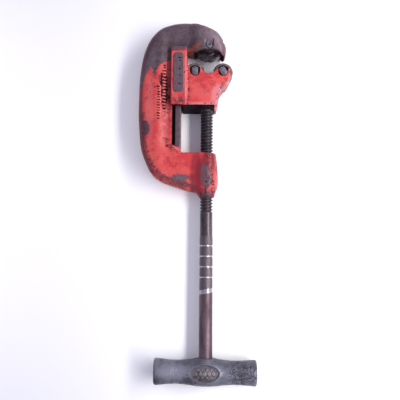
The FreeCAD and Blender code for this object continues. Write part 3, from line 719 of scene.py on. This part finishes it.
def make_frame():
    made, p, n = cast("frame_casting", frame_field, (-96, -6, -2), (28, 245, 38), 0.8, RED, 0.17, 11)
    x, y, z = p.T
    up = n[:, 2]
    front = smoothstep(-0.3, 0.3, up)
    inside = outer_distance(p)
    rail = highest(
        band(x, RAIL_BACK - 0.4, RAIL_FRONT + 1.0, 0.5) * band(y, RAIL_BOTTOM - 4, RAIL_TOP, 1.0),
        band(x, SPINE_INSIDE + 0.6, RAIL_BACK, 0.5) * band(y, RAIL_BOTTOM, RAIL_TOP, 1.0),
    )
    # Bare metal: the hook, worn patches on the spine, the arm and the boss, the boss's end, the rail
    bare = highest(
        smoothstep(-9, 9, y - paint_edge(x) + 3.5 * lumps(p, 9.0, 21)),
        stains(p, (0.95, -84.0, 89.5, 7.0, 11.0, 4)) * (up > -0.2),
        stains(p, (0.80, -35.5, 23.0, 14.0, 5.0, 4, 0.6)) * front,
        stains(p, (0.90, -1.2, 24.5, 7.4, 18.5, 9, 0.4)) * front,
        stains(p, (0.95, 0.5, -0.5, 6.5, 4.5)),
        rail,
    )
    # Chips: along the ridge of the lower half, on the boss and low on the arm
    low = 1 - smoothstep(104, 124, y)
    arm_end = smoothstep(-4, -20, x)
    chips = 0.12 + (0.58 * near(inside, 7.5, 2.6) + 0.32 * smoothstep(9.0, 3.0, inside)) * low * arm_end
    chips += stains(p, (0.40, 6.0, 22.0, 5.0, 20.0, 0, 0.6), (0.45, 3.0, 2.0, 12.0, 7.0, 0, 0.5))
    chips += stains(p, (0.22, -30.0, 19.0, 22.0, 8.0, 12, 0.5)) * front
    chips += 0.10 * band(y, 130, 190, 12) * smoothstep(-64, -74, x)
    # Rusty paint left under the hook beside the wheel
    orange = (z > MID) * highest(
        stains(p, (0.62, -17.0, 202.5, 10.0, 6.5, 38, 0.7)),
        stains(p, (0.95, -22.5, 199.0, 6.5, 3.4, 15, 0.6)),
    )
    # Grime and painted shade: dirt on the raised marks; painted shadow of the housing between the marks;
    # painted shade beside the rail, at its foot, in its groove, in the fork, on the pin pocket's walls and
    # under the hook; dirt and painted shade round the rim
    raised = marks(x, y) * smoothstep(0.3, 0.7, up)
    around_marks = stains(p, (1.0, -58.0, 144.0, 4.6, 36.0, 0, 0.3), (0.8, -61.5, 159.0, 4.5, 11.0, 0, 0.4))
    pocket_wall = band(to_slot(x, y, JAW_X, WHEEL_Y), 5.0, 6.2, 0.3)
    pocket_wall = pocket_wall * band(y, WHEEL_Y - 7, WHEEL_Y + 9, 1.5) * (z > 30)
    grime = highest(
        (0.74 - 0.55 * raised) * np.minimum(around_marks, 1.0) * (up > 0.3),
        0.56 * raised * (x < -62.0) + stains(p, (0.22, -65.5, 126.0, 3.6, 26.0, 0, 0.4)),
        stains(p, (0.46, -51.0, 140.0, 3.4, 50.0, 0, 0.5)) * front,
        stains(p, (0.55, -50.0, 66.0, 5.5, 14.0, 32, 0.6)) * front,
        0.40 * smoothstep(5.5, 1.0, inside) * low,
        0.22 * smoothstep(9.0, 4.0, inside) * band(y, 96, 168, 12),
        0.95 * band(x, SPINE_INSIDE - 1.6, RAIL_BACK + 0.4, 0.7) * band(y, RAIL_BOTTOM - 3, RAIL_TOP, 2.0),
        0.9 * (to_axis(x, y, JAW_X, WHEEL_Y) < FORK_RADIUS) * (np.abs(z - MID) < FORK_HALF_WIDTH - 0.2),
        pocket_wall * (0.35 + 0.5 * (x > JAW_X)),
        0.42 * band(y, HOOK_UNDERSIDE - 1, HOOK_UNDERSIDE + 5, 1.5) * band(x, -40, 20, 3),
    )
    # Darker and paler paint, and metal rubbed bright, partly painted shade and painted highlight
    # Darker paint: painted shade on the boss's left side; dirt and painted shade along the outer rim; darker
    # towards the spine's inner side; darker patches on the worn spots
    deep = stains(p, (0.75, -14.0, 30.0, 8.0, 34.0, 0, 0.5)) + 0.35 * smoothstep(8, 2, inside)
    deep += 0.60 * smoothstep(8, 2, inside) * smoothstep(20, 50, y)
    deep += 0.45 * smoothstep(-68, -52, x) * band(y, 66, 150, 12)
    deep = deep * (1 - rail) + stains(
        p, (0.45, -3.0, 27.0, 8.0, 22.0, 0, 0.5), (0.5, -82.0, 90.0, 9.0, 16.0, 0, 0.5),
        (0.55, -35.5, 23.0, 15.0, 6.0, 4, 0.6),
    )
    # Paler paint: painted highlight on the boss's right side, on the spine's face beside its ridge and on the
    # ridge at the rail's foot
    pale = 0.50 * smoothstep(5.0, 13.0, x) * (y < 62)
    pale += stains(p, (0.40, -77.0, 110.0, 6.0, 60.0, 0, 0.5), (0.5, -42.6, 65.0, 2.6, 9.0, 40, 0.3))
    # Metal rubbed bright on the rail, the worn spots and along the hook's rim, with painted highlight on the
    # hook's top and right side
    bright = 0.30 * smoothstep(206.0, 226.0, y) + 0.30 * smoothstep(5, 0, inside) * smoothstep(170, 200, y)
    bright += 0.2 * rail + stains(
        p, (0.55, 14.0, 218.0, 20.0, 18.0, -40, 0.6), (0.45, -79.0, 170.0, 7.0, 34.0, -14, 0.6),
        (0.25, -2.0, 27.0, 6.0, 18.0), (0.50, -35.5, 23.0, 14.0, 5.0, 4, 0.6),
    )
    vertex_layers(made, bare=bare, chips=chips, grime=grime, deep=deep, pale=pale, orange=orange, bright=bright)
    return made


# ---- Roller housing ----


def cheek_outline():
    left, right, y = LEFT_ROLLER, RIGHT_ROLLER, ROLLER_Y
    arcs = (
        ((11.0, HOUSING_BOTTOM), (13.6, 122.6), (14.6, 125.0)),
        ((16.2, 136.0), (18.6, 143.0), (24.0, 149.0)),
        ((24.0, 149.0), (30.6, 159.0), (right + 9.6, y)),
        ((right + 9.6, y), (right, y + 9.6), (right - 8.4, y + 4.6)),
        ((right - 8.4, y + 4.6), (JAW_X + 1.5, 166.2), (left + 8.4, y + 4.6)),
        ((left + 8.4, y + 4.6), (left, y + 9.6), (left - 7.0, y + 6.6)),
    )
    inner = BLOCK_RIGHT - 4
    corners = [(inner, HOUSING_BOTTOM)]
    for arc in arcs:
        corners += arc_points(*arc) + [arc[-1]]
    return corners + [(inner, 181.0)]


def plaque(x, y, x0, x1, y0, y1, corner):
    """Signed distance to an upright rectangle with round corners."""
    return rounded(corner, past(x, x0, x1), past(y, y0, y1))


def ticks(x, y):
    """Depth of the scale on the pad: plain cross lines, long at its two ends and short between."""
    depth = 0.0
    for place, half in ((150.1, 2.4), (162.0, 1.2), (171.1, 1.2), (182.6, 1.2), (186.6, 2.4)):
        across = smoothstep(half + 0.4, half - 0.3, np.abs(x + 37.6))
        depth = depth + smoothstep(1.2, 0.3, np.abs(y - place)) * across
    return depth


def housing_field(x, y, z):
    w = z - MID
    flat_x, flat_y = x[:, :, 0], y[:, :, 0]
    body = plaque(x, y, HOUSING_LEFT, BLOCK_RIGHT, HOUSING_BOTTOM, HOUSING_TOP, 3.0)
    guide = slab(body, w, MID, 2.6, 2.4, 2.0)
    cheeks = slab(outline(flat_x, flat_y, cheek_outline())[:, :, None], w, CHEEK_HALF, 2.4, 2.2, 2.0)
    across = np.sqrt(x**2 + w**2)
    socket = drum(across, y, 14.0, 117.5, 150.0, 2.0)
    shape = smooth_min(guide, cheeks, 2.2)
    valley = np.sqrt((x - (BLOCK_RIGHT + 1.6)) ** 2 + (np.abs(w) - MID - 0.6) ** 2) - 2.6
    shape = np.where(y < 184.0, smooth_max(shape, -valley, 1.2), shape)
    shape = smooth_min(shape, socket, 3.0)
    skirt = block(x, y, z, RAIL_FRONT + 2.0, 13.0, 116.0, 127.0, 0.6, THICKNESS - 1.4, 1.6)
    skirt = smooth_max(skirt, 117.6 + 0.105 * z - y, 1.2)
    shape = smooth_min(shape, skirt, 1.0)
    pad = plaque(x, y, *PAD, PAD_CORNER)
    pad_plate = smooth_max(pad, np.abs(w - (MID + 0.1)) - PAD_PROUD + 0.35 * ticks(x, y), 0.3)
    moat = smoothstep(1.6, 0.2, np.abs(pad - 0.6)) * 0.35 * (w > 10)
    shape = np.minimum(shape + moat, pad_plate)
    wrapped = (x < SPINE_INSIDE + 0.4) | (y > 186.0)
    wrap = np.where(wrapped, np.abs(w) - PLATE_HALF - SLIDE_GAP, 99.0)
    rail = np.maximum(x - RAIL_FRONT - SLIDE_GAP, RAIL_BACK - SLIDE_GAP - x)
    rail = np.maximum(rail, np.abs(w) - RAIL_HALF_WIDTH - SLIDE_GAP)
    neck = np.maximum(x - RAIL_BACK, np.abs(w) - T_NECK_HALF_WIDTH - SLIDE_GAP)
    shape = smooth_max(shape, -np.minimum(wrap, np.minimum(rail, neck)), 0.5)
    for place in (LEFT_ROLLER, RIGHT_ROLLER):
        to_pin = to_axis(x, y, place, ROLLER_Y)
        room = np.maximum(to_pin - ROLLER_RADIUS - 1.0, BLOCK_RIGHT - 3.2 - x)
        shape = smooth_max(shape, -np.maximum(room, np.abs(w) - CHEEK_GAP_HALF), 0.5)
        pocket = to_slot(x, y, place, ROLLER_Y) - ROLLER_PIN_POCKET
        pocket = smooth_max(pocket, MID + CHEEK_HALF - 4.4 - z, 0.5)
        shape = smooth_max(shape, -pocket, 0.7)
        shape = np.maximum(shape, -(to_pin - PIN_RADIUS - 0.1))
        shape = np.maximum(shape, -drum(to_pin, z, CLIP_POCKET_RADIUS, -3, CLIP_POCKET_HEIGHT))
    jaw = block(x, y, w, -18.0, 23.0, ROLLER_Y - 6, 205.0, -CHEEK_GAP_HALF, CHEEK_GAP_HALF, 0.3)
    shape = smooth_max(shape, -jaw, 0.5)
    shape = smooth_max(shape, -drum(across, y, 8.3, 100.0, 148.0), 0.4)
    pin_y, offset, pin_radius = NOSE_PINS
    bores = np.sqrt((y - pin_y) ** 2 + (np.abs(w) - offset) ** 2) - pin_radius
    shape = np.maximum(shape, -np.maximum(bores, np.abs(x) - 12.0))
    return shape


def make_housing():
    made, p, n = cast("housing_casting", housing_field, (-52, 115, -2), (34, 207, 38.4), 0.62, RED_HOUSING,
                      0.13, 31)
    x, y, z = p.T
    top = smoothstep(0.3, 0.8, n[:, 2])
    pad = plaque(x, y, *PAD, PAD_CORNER)
    on_block = x < BLOCK_RIGHT + 1
    bare = highest(
        1.1 * smoothstep(0.6, -0.4, pad) * top,
        0.70 * smoothstep(193.0, 201.0, y + 2.0 * lumps(p, 6.0, 41)) * on_block,
        stains(p, (0.55, -37.5, 128.0, 11.0, 4.4, -8, 0.6)) * top,
    )
    chips = 0.16 + 0.3 * band(y, 118, 125, 2) + 0.36 * near(x, BLOCK_RIGHT + 1.0, 1.8) * (y > 122)
    chips += 0.36 * smoothstep(194.0, 200.0, y) * on_block + 0.30 * smoothstep(-46.5, -50.0, x)
    chips += stains(
        p, (0.50, 20.0, 143.0, 4.5, 16.0, -28, 0.5),
        (0.42, RIGHT_ROLLER + 6.0, ROLLER_Y + 4.0, 8.0, 8.0, 0, 0.5),
    )
    # Paler paint: painted highlight along the housing's lower front edge, round the pad, on the right-facing
    # slopes, beside the socket and along the block's right edge, and a faint paler patch over the socket
    pale = 0.9 * near(y, 122.8, 2.4) * (x > -25) * (z > 22) + 0.35 * near(pad, 1.5, 1.5) * top
    pale += 0.75 * smoothstep(0.9, 0.5, n[:, 2]) * (x > 10) * (z > 20) * (y < 160)
    pale += stains(
        p, (0.85, 13.0, 136.0, 6.5, 16.0, -10, 0.6), (0.45, -28.6, 160.0, 2.0, 36.0),
        (0.25, -8.0, 136.0, 22.0, 12.0, 0, 0.6),
    )
    # Grime and painted shade: painted shade on and under the housing's underside, between the cheeks, in the
    # valley beside the block, round the pad and in and round the roller pin pockets; dirt in the scale's ticks
    below = smoothstep(-0.25, -0.6, n[:, 1]) * (y < 124) * (z < 34.4)
    grime = highest(
        1.3 * below * smoothstep(12.0, 8.0, x),
        1.2 * (y < 120.0) * (z < 33.0) * smoothstep(12.0, 8.0, x),
        0.8 * (np.abs(z - MID) < 11.2) * (y > 150) * (x > -31) * (n[:, 2] ** 2 > 0.3),
        0.46 * near(x, BLOCK_RIGHT + 2.2, 1.8) * band(y, 126, 180, 4),
        0.46 * near(pad, 0.6, 0.8) * top,
        0.9 * ticks(x, y) * (pad < 0) * top,
    )
    for place in (LEFT_ROLLER, RIGHT_ROLLER):
        around = to_slot(x, y, place, ROLLER_Y)
        in_pocket = smoothstep(7.4, 6.6, around) * (z < CHEEK_HALF + MID - 0.6)
        grime = highest(grime, 0.8 * in_pocket * (z > 28), 0.42 * smoothstep(9.4, 6.8, around) * (z > 28))
    # Darker paint: painted shade on the housing's left side and its underside; darker at the block's top end,
    # on the pad and in a patch on the cheek
    deep = 0.95 * smoothstep(-46.6, -49.6, x) + stains(p, (0.30, -6.0, 156.0, 14.0, 18.0, 0, 0.5))
    deep += 0.6 * smoothstep(192.0, 200.0, y) + 0.35 * smoothstep(0.5, -0.5, pad) * top
    deep += 0.9 * smoothstep(124.0, 119.0, y) * (z < 34.4)
    bright = 0.35 * smoothstep(195.0, 202.0, y) + 0.35 * smoothstep(0.5, -0.5, pad)
    vertex_layers(made, bare=bare, chips=chips, grime=grime, deep=deep, pale=pale, bright=bright)
    return made


# ---- Handle ----


def emblem(x, y):
    """Raised pattern in the oval: a row of large lozenges between two rows of small ones."""
    across, along = x - MEDALLION[0], y - HANDLE_Y
    pitch = 5.6
    height = 0.0
    rows = ((5, 0.0, 2.3, 1.25, 0.0), (4, 4.9, 1.3, 1.0, 0.4), (4, -4.9, 1.3, 1.0, 0.4))
    for count, place, size, tall, fill in rows:
        for k in range(count):
            centre = (k - (count - 1) / 2) * pitch
            reach = np.abs(across - centre) / size + np.abs(along - place) / (size * tall)
            lozenge = smoothstep(1.15, 0.75, reach) * smoothstep(0.25, 0.5, reach + fill)
            height = np.maximum(height, lozenge)
    return height


def oval(x, y):
    """1 at the medallion's edge, less inside."""
    return np.sqrt(((x - MEDALLION[0]) / MEDALLION[1]) ** 2 + ((y - HANDLE_Y) / MEDALLION[2]) ** 2)


def handle_field(x, y, z):
    w, v = z - MID, y - HANDLE_Y + 0.012 * x
    across = np.sqrt(v**2 + w**2)
    radius = np.interp(np.abs(x), *np.array(curve_points(HANDLE_PROFILE, 1.0)).T)
    bar = smooth_max(across - radius, np.abs(x - HANDLE_MIDDLE) - HANDLE_HALF_LENGTH, 3.6)
    to_screw = np.sqrt(x**2 + w**2)
    hub = np.maximum(to_screw - 12.0 + 0.12 * (y - HUB_TOP + 8), np.maximum(y - HUB_TOP, HANDLE_Y - y))
    shape = smooth_min(bar, hub, 5.0)
    shape = smooth_max(shape, y - HUB_TOP, 1.0)
    ratio = oval(x, y)
    recess = MEDALLION[3] * smoothstep(1.0, 0.93, ratio) - 0.55 * emblem(x, y) * (ratio < 0.9)
    rim = -0.30 * smoothstep(0.10, 0.03, np.abs(ratio - 1.05))
    shape = shape + np.where(w > 0, recess + rim, 0.0)
    shape = smooth_max(shape, -drum(to_screw, y, SHANK_RADIUS, HUB_TOP - 6, HUB_TOP + 6), 0.4)
    return np.maximum(shape, -drum(np.sqrt(x**2 + v**2), z, 2.5, -6.0, 29.0))


def make_handle():
    made, p, n = cast("handle_casting", handle_field, (-69, -250, -2.4), (69, -208, 38.4), 0.62, HANDLE,
                      0.20, 51)
    x, y = p[:, 0], p[:, 1]
    front = n[:, 2] > 0
    ratio = oval(x, y)
    inside = smoothstep(0.97, 0.90, ratio) * front
    rim = smoothstep(0.10, 0.03, np.abs(ratio - 1.05)) * front
    blotch = 0.9 * smoothstep(0.06, 0.01, np.abs(ratio - 0.98)) * front + 0.16 * smoothstep(16.0, 40.0, x)
    blotch += stains(
        p, (0.50, 46.0, -232.0, 20.0, 14.0, -8, 0.8), (0.44, -30.0, -241.0, 40.0, 7.0, 0, 0.8),
        (0.36, -22.0, -232.0, 10.0, 13.0, 0, 0.8), (0.62, -65.0, -236.0, 5.0, 14.0, 0, 0.8),
    )
    flecks = stains(p, (0.52, -41.0, -226.5, 5.5, 5.0, 0, 0.4), (0.40, -38.0, -236.5, 3.0, 2.2, 0, 0.4))
    pale = stains(p, (0.55, -46.0, -227.0, 20.0, 9.0, 0, 0.8))
    relief = 0.36 * emblem(x, y) * inside + 0.16 * rim
    vertex_layers(made, blotch=blotch, pale=pale, flecks=flecks + 0.06, floor=inside, relief=relief)
    return made


# ---- Feed screw ----


def thread_radius(angles, y):
    """The thread's radius round the screw at one height, as a right-hand trapezoid thread."""
    phase = (y / THREAD_LEAD - angles / math.tau) % 1
    crest = np.minimum(smoothstep(0.0, 0.16, phase), smoothstep(0.66, 0.50, phase))
    fade = smoothstep(THREAD_BOTTOM, THREAD_BOTTOM + 2.5, y) * smoothstep(THREAD_TOP + 2.0, THREAD_TOP, y)
    full = THREAD_ROOT + (THREAD_RADIUS - THREAD_ROOT) * crest
    return THREAD_RADIUS - 0.15 + (full - THREAD_RADIUS + 0.15) * fade


def knurl(angles, y):
    """Height of the diamond knurl, 1 at its crests."""
    turns = 20 * angles / math.tau
    a = 0.5 + 0.5 * np.cos(math.tau * (turns + y / 3.4))
    b = 0.5 + 0.5 * np.cos(math.tau * (turns - y / 3.4))
    return 1 - np.maximum(a, b) ** 1.5


def groove_at(y):
    """1 in the middle of a turned ring, 0 away from it."""
    return max(smoothstep(1.1, 0.35, abs(y - g)) for g in GRIP_GROOVES)


def slant(angles, y):
    """1 on the plain band that ends the knurl, which leans across the screw."""
    middle = SLANT_MIDDLE + 1.7 * np.sin(angles - 0.3)
    return smoothstep(3.2, 2.5, np.abs(y - middle))


def screw_section(angles, y, radius):
    if THREAD_BOTTOM <= y <= THREAD_TOP + 2:
        return thread_radius(angles, y)
    if KNURL_BOTTOM - 8 <= y <= NECK_BOTTOM:
        level = smoothstep(NECK_BOTTOM, NECK_BOTTOM - 0.8, y)
        knurled = level * smoothstep(SLANT_MIDDLE - 1, KNURL_BOTTOM, y) * (1 - slant(angles, y))
        cut = groove_at(y)
        r = SHANK_RADIUS - 0.7 * (1 - level) - 0.42 * knurled * (1 - cut) * (1 - knurl(angles, y))
        return r - 0.75 * cut - 0.10 * slant(angles, y)
    return np.full(len(angles), radius)


def screw_rows():
    """(height, radius) of every ring of the screw's surface, from its tail to its nose."""
    rows = [(-238.6, 6.4), (-238.2, 6.9), (-218.0, 7.0), (-217.6, 7.2), (-217.4, SHANK_RADIUS)]
    for low, high, step, radius in (
        (-216.0, KNURL_BOTTOM - 8, 3.0, SHANK_RADIUS),
        (KNURL_BOTTOM - 8, NECK_BOTTOM, 0.46, SHANK_RADIUS),
        (NECK_BOTTOM + 0.4, THREAD_BOTTOM - 0.5, 2.0, THREAD_RADIUS),
        (THREAD_BOTTOM, THREAD_TOP + 2, 0.31, THREAD_RADIUS),
    ):
        rows += [(y, radius) for y in np.arange(low, high, step)]
    return rows + [
        (THREAD_TOP + 3.0, 7.6), (THREAD_TOP + 4.4, NOSE_RADIUS), (131.0, NOSE_RADIUS), (131.1, 4.9),
        (135.5, 4.9), (135.6, NOSE_RADIUS), (142.0, NOSE_RADIUS), (144.8, 4.6),
    ]


def make_screw():
    rows = screw_rows()
    sides = 120
    made = lathe("feed_screw_steel", rows, (0, 0, MID), (0, 1, 0), sides, SCREW, screw_section)
    angles = np.arange(sides) * math.tau / sides
    oil, grey, polish, pit = [], [], [], []
    for y, _ in rows:
        threaded = band(y, THREAD_BOTTOM + 1, THREAD_TOP, 2.0)
        ring, plain, crest = groove_at(y), slant(angles, y), knurl(angles, y)
        knurled = band(y, KNURL_BOTTOM, NECK_BOTTOM, 0.8) * (1 - plain) * (1 - ring)
        thread_crest = smoothstep(7.2, 7.9, thread_radius(angles, y)) * threaded
        oil.append(np.full(sides, threaded * (0.72 + 0.28 * smoothstep(20.0, 60.0, y))))
        grey.append(0.8 * band(y, NECK_BOTTOM, THREAD_BOTTOM, 1.0) + 0.30 * knurled)
        shine = np.maximum(0.85 * ring, 0.55 * plain * band(y, -131, -121, 0.5))
        shine = np.maximum(shine, 0.60 * knurled * smoothstep(0.60, 0.95, crest))
        polish.append(shine + 0.03 * thread_crest)
        pit.append(0.95 * knurled * smoothstep(0.60, 0.2, crest))
    ends = [np.zeros(2)]
    layers = {"oil": oil, "grey": grey, "polish": polish, "pit": pit}
    vertex_layers(made, **{name: np.concatenate(values + ends) for name, values in layers.items()})
    return made


# ---- Jaw parts ----


def make_wheel():
    """The cutter wheel: a hub and a thin blade that is bevelled to a sharp rim."""
    hub, rim = 8.6, WHEEL_RADIUS
    side = [
        (-9.9, 8.1), (-9.5, hub), (-3.6, hub), (-3.2, hub + 0.3), (-1.9, hub + 1.6), (-1.8, hub + 2.0),
        (-1.8, rim - 4.6), (-1.7, rim - 4.0), (-0.2, rim - 0.25), (-0.05, rim),
    ]
    rows = side + [(-z, r) for z, r in reversed(side)]
    return lathe("cutter_wheel_steel", rows, (JAW_X, WHEEL_Y, MID), (0, 0, 1), 96, TOOL)


def make_roller(name, x):
    end = [(-10.55, 12.0), (-10.5, 12.3), (-9.6, 13.2), (-9.3, ROLLER_RADIUS)]
    rows = end + [(-z, r) for z, r in reversed(end)]
    return lathe(name, rows, (x, ROLLER_Y, MID), (0, 0, 1), 96, ROLLER)


def make_pin(name, x, y, head, head_low, top, flats, turn=0.0):
    """A pin with a chamfered head ground to two flats, and a groove for its retaining ring."""
    reach = head + 1.0
    bevel = 0.7
    ring_groove = (3.6, 3.6, 0.62)  # radius, height, half width

    def field(gx, gy, gz):
        across = to_axis(gx, gy, x, y)
        body = drum(across, gz, PIN_RADIUS, 2.0, head_low + 1, 0.5)
        groove = np.maximum(ring_groove[0] - across, np.abs(gz - ring_groove[1]) - ring_groove[2])
        body = np.maximum(body, -groove)
        t = math.radians(turn)
        cross = np.abs((gx - x) * math.cos(t) + (gy - y) * math.sin(t))
        cap = np.maximum(drum(across, gz, head, head_low, top, 0.3), cross - flats)
        cap = np.maximum(cap, (cross + gz - flats - top + bevel) / math.sqrt(2))
        cap = np.maximum(cap, (across + gz - head - top + bevel) / math.sqrt(2))
        return np.minimum(body, cap)

    low, high = (x - reach, y - reach, 1.0), (x + reach, y + reach, top + 1)
    return cast(name, field, low, high, 0.28, PIN, 0.02, 61)[0]


# ---- Build ----

RED = painted_casting("red_enamel")
RED_HOUSING = painted_casting("red_enamel_housing")
HANDLE = handle_casting()
SCREW = screw_steel()
TOOL = plain_steel("tool_steel", (0.026, 0.018, 0.022), (0.075, 0.054, 0.062), 0.34, 0.6)
ROLLER = plain_steel("roller_steel", (0.11, 0.085, 0.10), (0.24, 0.20, 0.23), 0.36, 0.7)
PIN = plain_steel("pin_steel", (0.095, 0.082, 0.100), (0.235, 0.212, 0.242), 0.36, 0.6)
SPRING = plain_steel("spring_steel", (0.10, 0.10, 0.11), (0.28, 0.27, 0.30), 0.30, 0.8)

# Radius, underside, top and half width at the flats of the pins' heads
ROLLER_PIN_HEAD = (6.2, 30.2, MID + CHEEK_HALF + 0.6, 4.5)
WHEEL_PIN_HEAD = (5.1, 32.8, 35.8, 4.1)

PIECES = (
    (make_frame(), "frame_body", "painted_casting", "frame"),
    (make_housing(), "housing_body", "painted_casting", "roller_housing"),
    (make_handle(), "screw_body", "bare_casting", "t_handle"),
    (make_screw(), "screw_body", "screw_steel", "feed_screw"),
    (make_wheel(), "wheel_body", "tool_steel", "cutter_wheel"),
    (make_roller("roller_left_steel", LEFT_ROLLER), "roller_left_body", "roller_steel", "roller_left"),
    (make_roller("roller_right_steel", RIGHT_ROLLER), "roller_right_body", "roller_steel", "roller_right"),
    (make_pin("wheel_pin_steel", JAW_X, WHEEL_Y, *WHEEL_PIN_HEAD), "frame_body", "pin_steel", "wheel_pin"),
    (make_pin("roller_pin_left_steel", LEFT_ROLLER, ROLLER_Y, *ROLLER_PIN_HEAD),
     "housing_body", "pin_steel", "roller_pin_left"),
    (make_pin("roller_pin_right_steel", RIGHT_ROLLER, ROLLER_Y, *ROLLER_PIN_HEAD, 38.0),
     "housing_body", "pin_steel", "roller_pin_right"),
)
for piece, body, slot, node in PIECES:
    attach(piece, body)
    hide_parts(node)

KEPT = {
    "wheel_pin_clip": SPRING, "roller_pin_clip_left": SPRING, "roller_pin_clip_right": SPRING,
    "thrust_pad": TOOL, "screw_pin_front": PIN, "screw_pin_back": PIN, "handle_pin": PIN,
}
for node, material in KEPT.items():
    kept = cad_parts[node]
    kept.data.materials.clear()
    kept.data.materials.append(material)
    bevel = kept.modifiers.new("worn_edges", "BEVEL")
    bevel.width = 0.25 * MM
    bevel.segments = 2
    bevel.limit_method = "ANGLE"
    for face in kept.data.polygons:
        face.use_smooth = False

# ---- Floor, light and camera ----


def add_floor():
    size = 6.0
    mesh = bpy.data.meshes.new("floor")
    corners = [(-size, -size, 0), (size, -size, 0), (size, size, 0), (-size, size, 0)]
    mesh.from_pydata(corners, [], [(0, 1, 2, 3)])
    made = bpy.data.objects.new("floor", mesh)
    made.location.z = frame_bounds[0].z - 0.2 * MM
    bpy.context.scene.collection.objects.link(made)
    s = Shader("floor_paper")
    s.skin_set(Base_Color=(0.90, 0.90, 0.91), Roughness=0.75, Specular_IOR_Level=0.2)
    mesh.materials.append(s.material)
    return made


def add_light(name, place, aim, width, length, spread, power, colour):
    """A strip light that lies along Y, at a place and aimed at a point in drawing millimetres."""
    way = (Vector(place) - Vector(aim)).normalized()
    lamp = bpy.data.lights.new(name, "AREA")
    lamp.shape = "RECTANGLE"
    lamp.size = width * MM
    lamp.size_y = length * MM
    lamp.energy = power
    lamp.spread = math.radians(spread)
    lamp.color = colour
    made = bpy.data.objects.new(name, lamp)
    up = Vector((0, 1, 0))
    across = up.cross(way).normalized()
    rotation = Matrix((across, way.cross(across), way)).transposed()
    made.matrix_world = Matrix.Translation(SHIFT + Vector(place) * MM) @ rotation.to_4x4()
    bpy.context.scene.collection.objects.link(made)
    return made


def add_world():
    world = bpy.data.worlds.new("studio")
    world.use_nodes = True
    sky = world.node_tree.nodes["Background"]
    sky.inputs["Color"].default_value = (0.435, 0.428, 0.550, 1.0)
    sky.inputs["Strength"].default_value = 1.0
    bpy.context.scene.world = world


def add_camera():
    """The camera looks down at the tool from above, tilted a little towards the hook."""
    tilt, roll = math.radians(8.0), math.radians(0.4)
    ahead = Vector((0, math.sin(tilt), -math.cos(tilt)))
    up = Vector((0, math.cos(tilt), math.sin(tilt)))
    up = up * math.cos(roll) - Vector((1, 0, 0)) * math.sin(roll)
    right = ahead.cross(up)
    lens = bpy.data.cameras.new("camera")
    lens.lens = 54.4
    lens.sensor_width = 36.0
    lens.clip_start = 0.05
    made = bpy.data.objects.new("camera", lens)
    rotation = Matrix((right, up, -ahead)).transposed()
    made.matrix_world = Matrix.Translation(SHIFT + Vector((-8.56, -118.2, 820.0)) * MM) @ rotation.to_4x4()
    bpy.context.scene.collection.objects.link(made)
    bpy.context.scene.camera = made


floor = add_floor()
add_light(
    "key", place=(230.0, 0.0, 290.0), aim=(60.0, 0.0, 0.0), width=74.0, length=1100.0, spread=120.0,
    power=1.95, colour=(1.0, 0.985, 0.97),
)
fill = add_light(
    "fill", place=(-520.0, 40.0, 260.0), aim=(0.0, 20.0, 0.0), width=300.0, length=700.0, spread=180.0,
    power=1.6, colour=(0.96, 0.95, 1.0),
)
floor_only = bpy.data.collections.new("floor_only")
floor_only.objects.link(floor)
fill.light_linking.receiver_collection = floor_only
add_world()
add_camera()
bpy.context.scene.view_settings.view_transform = "Standard"
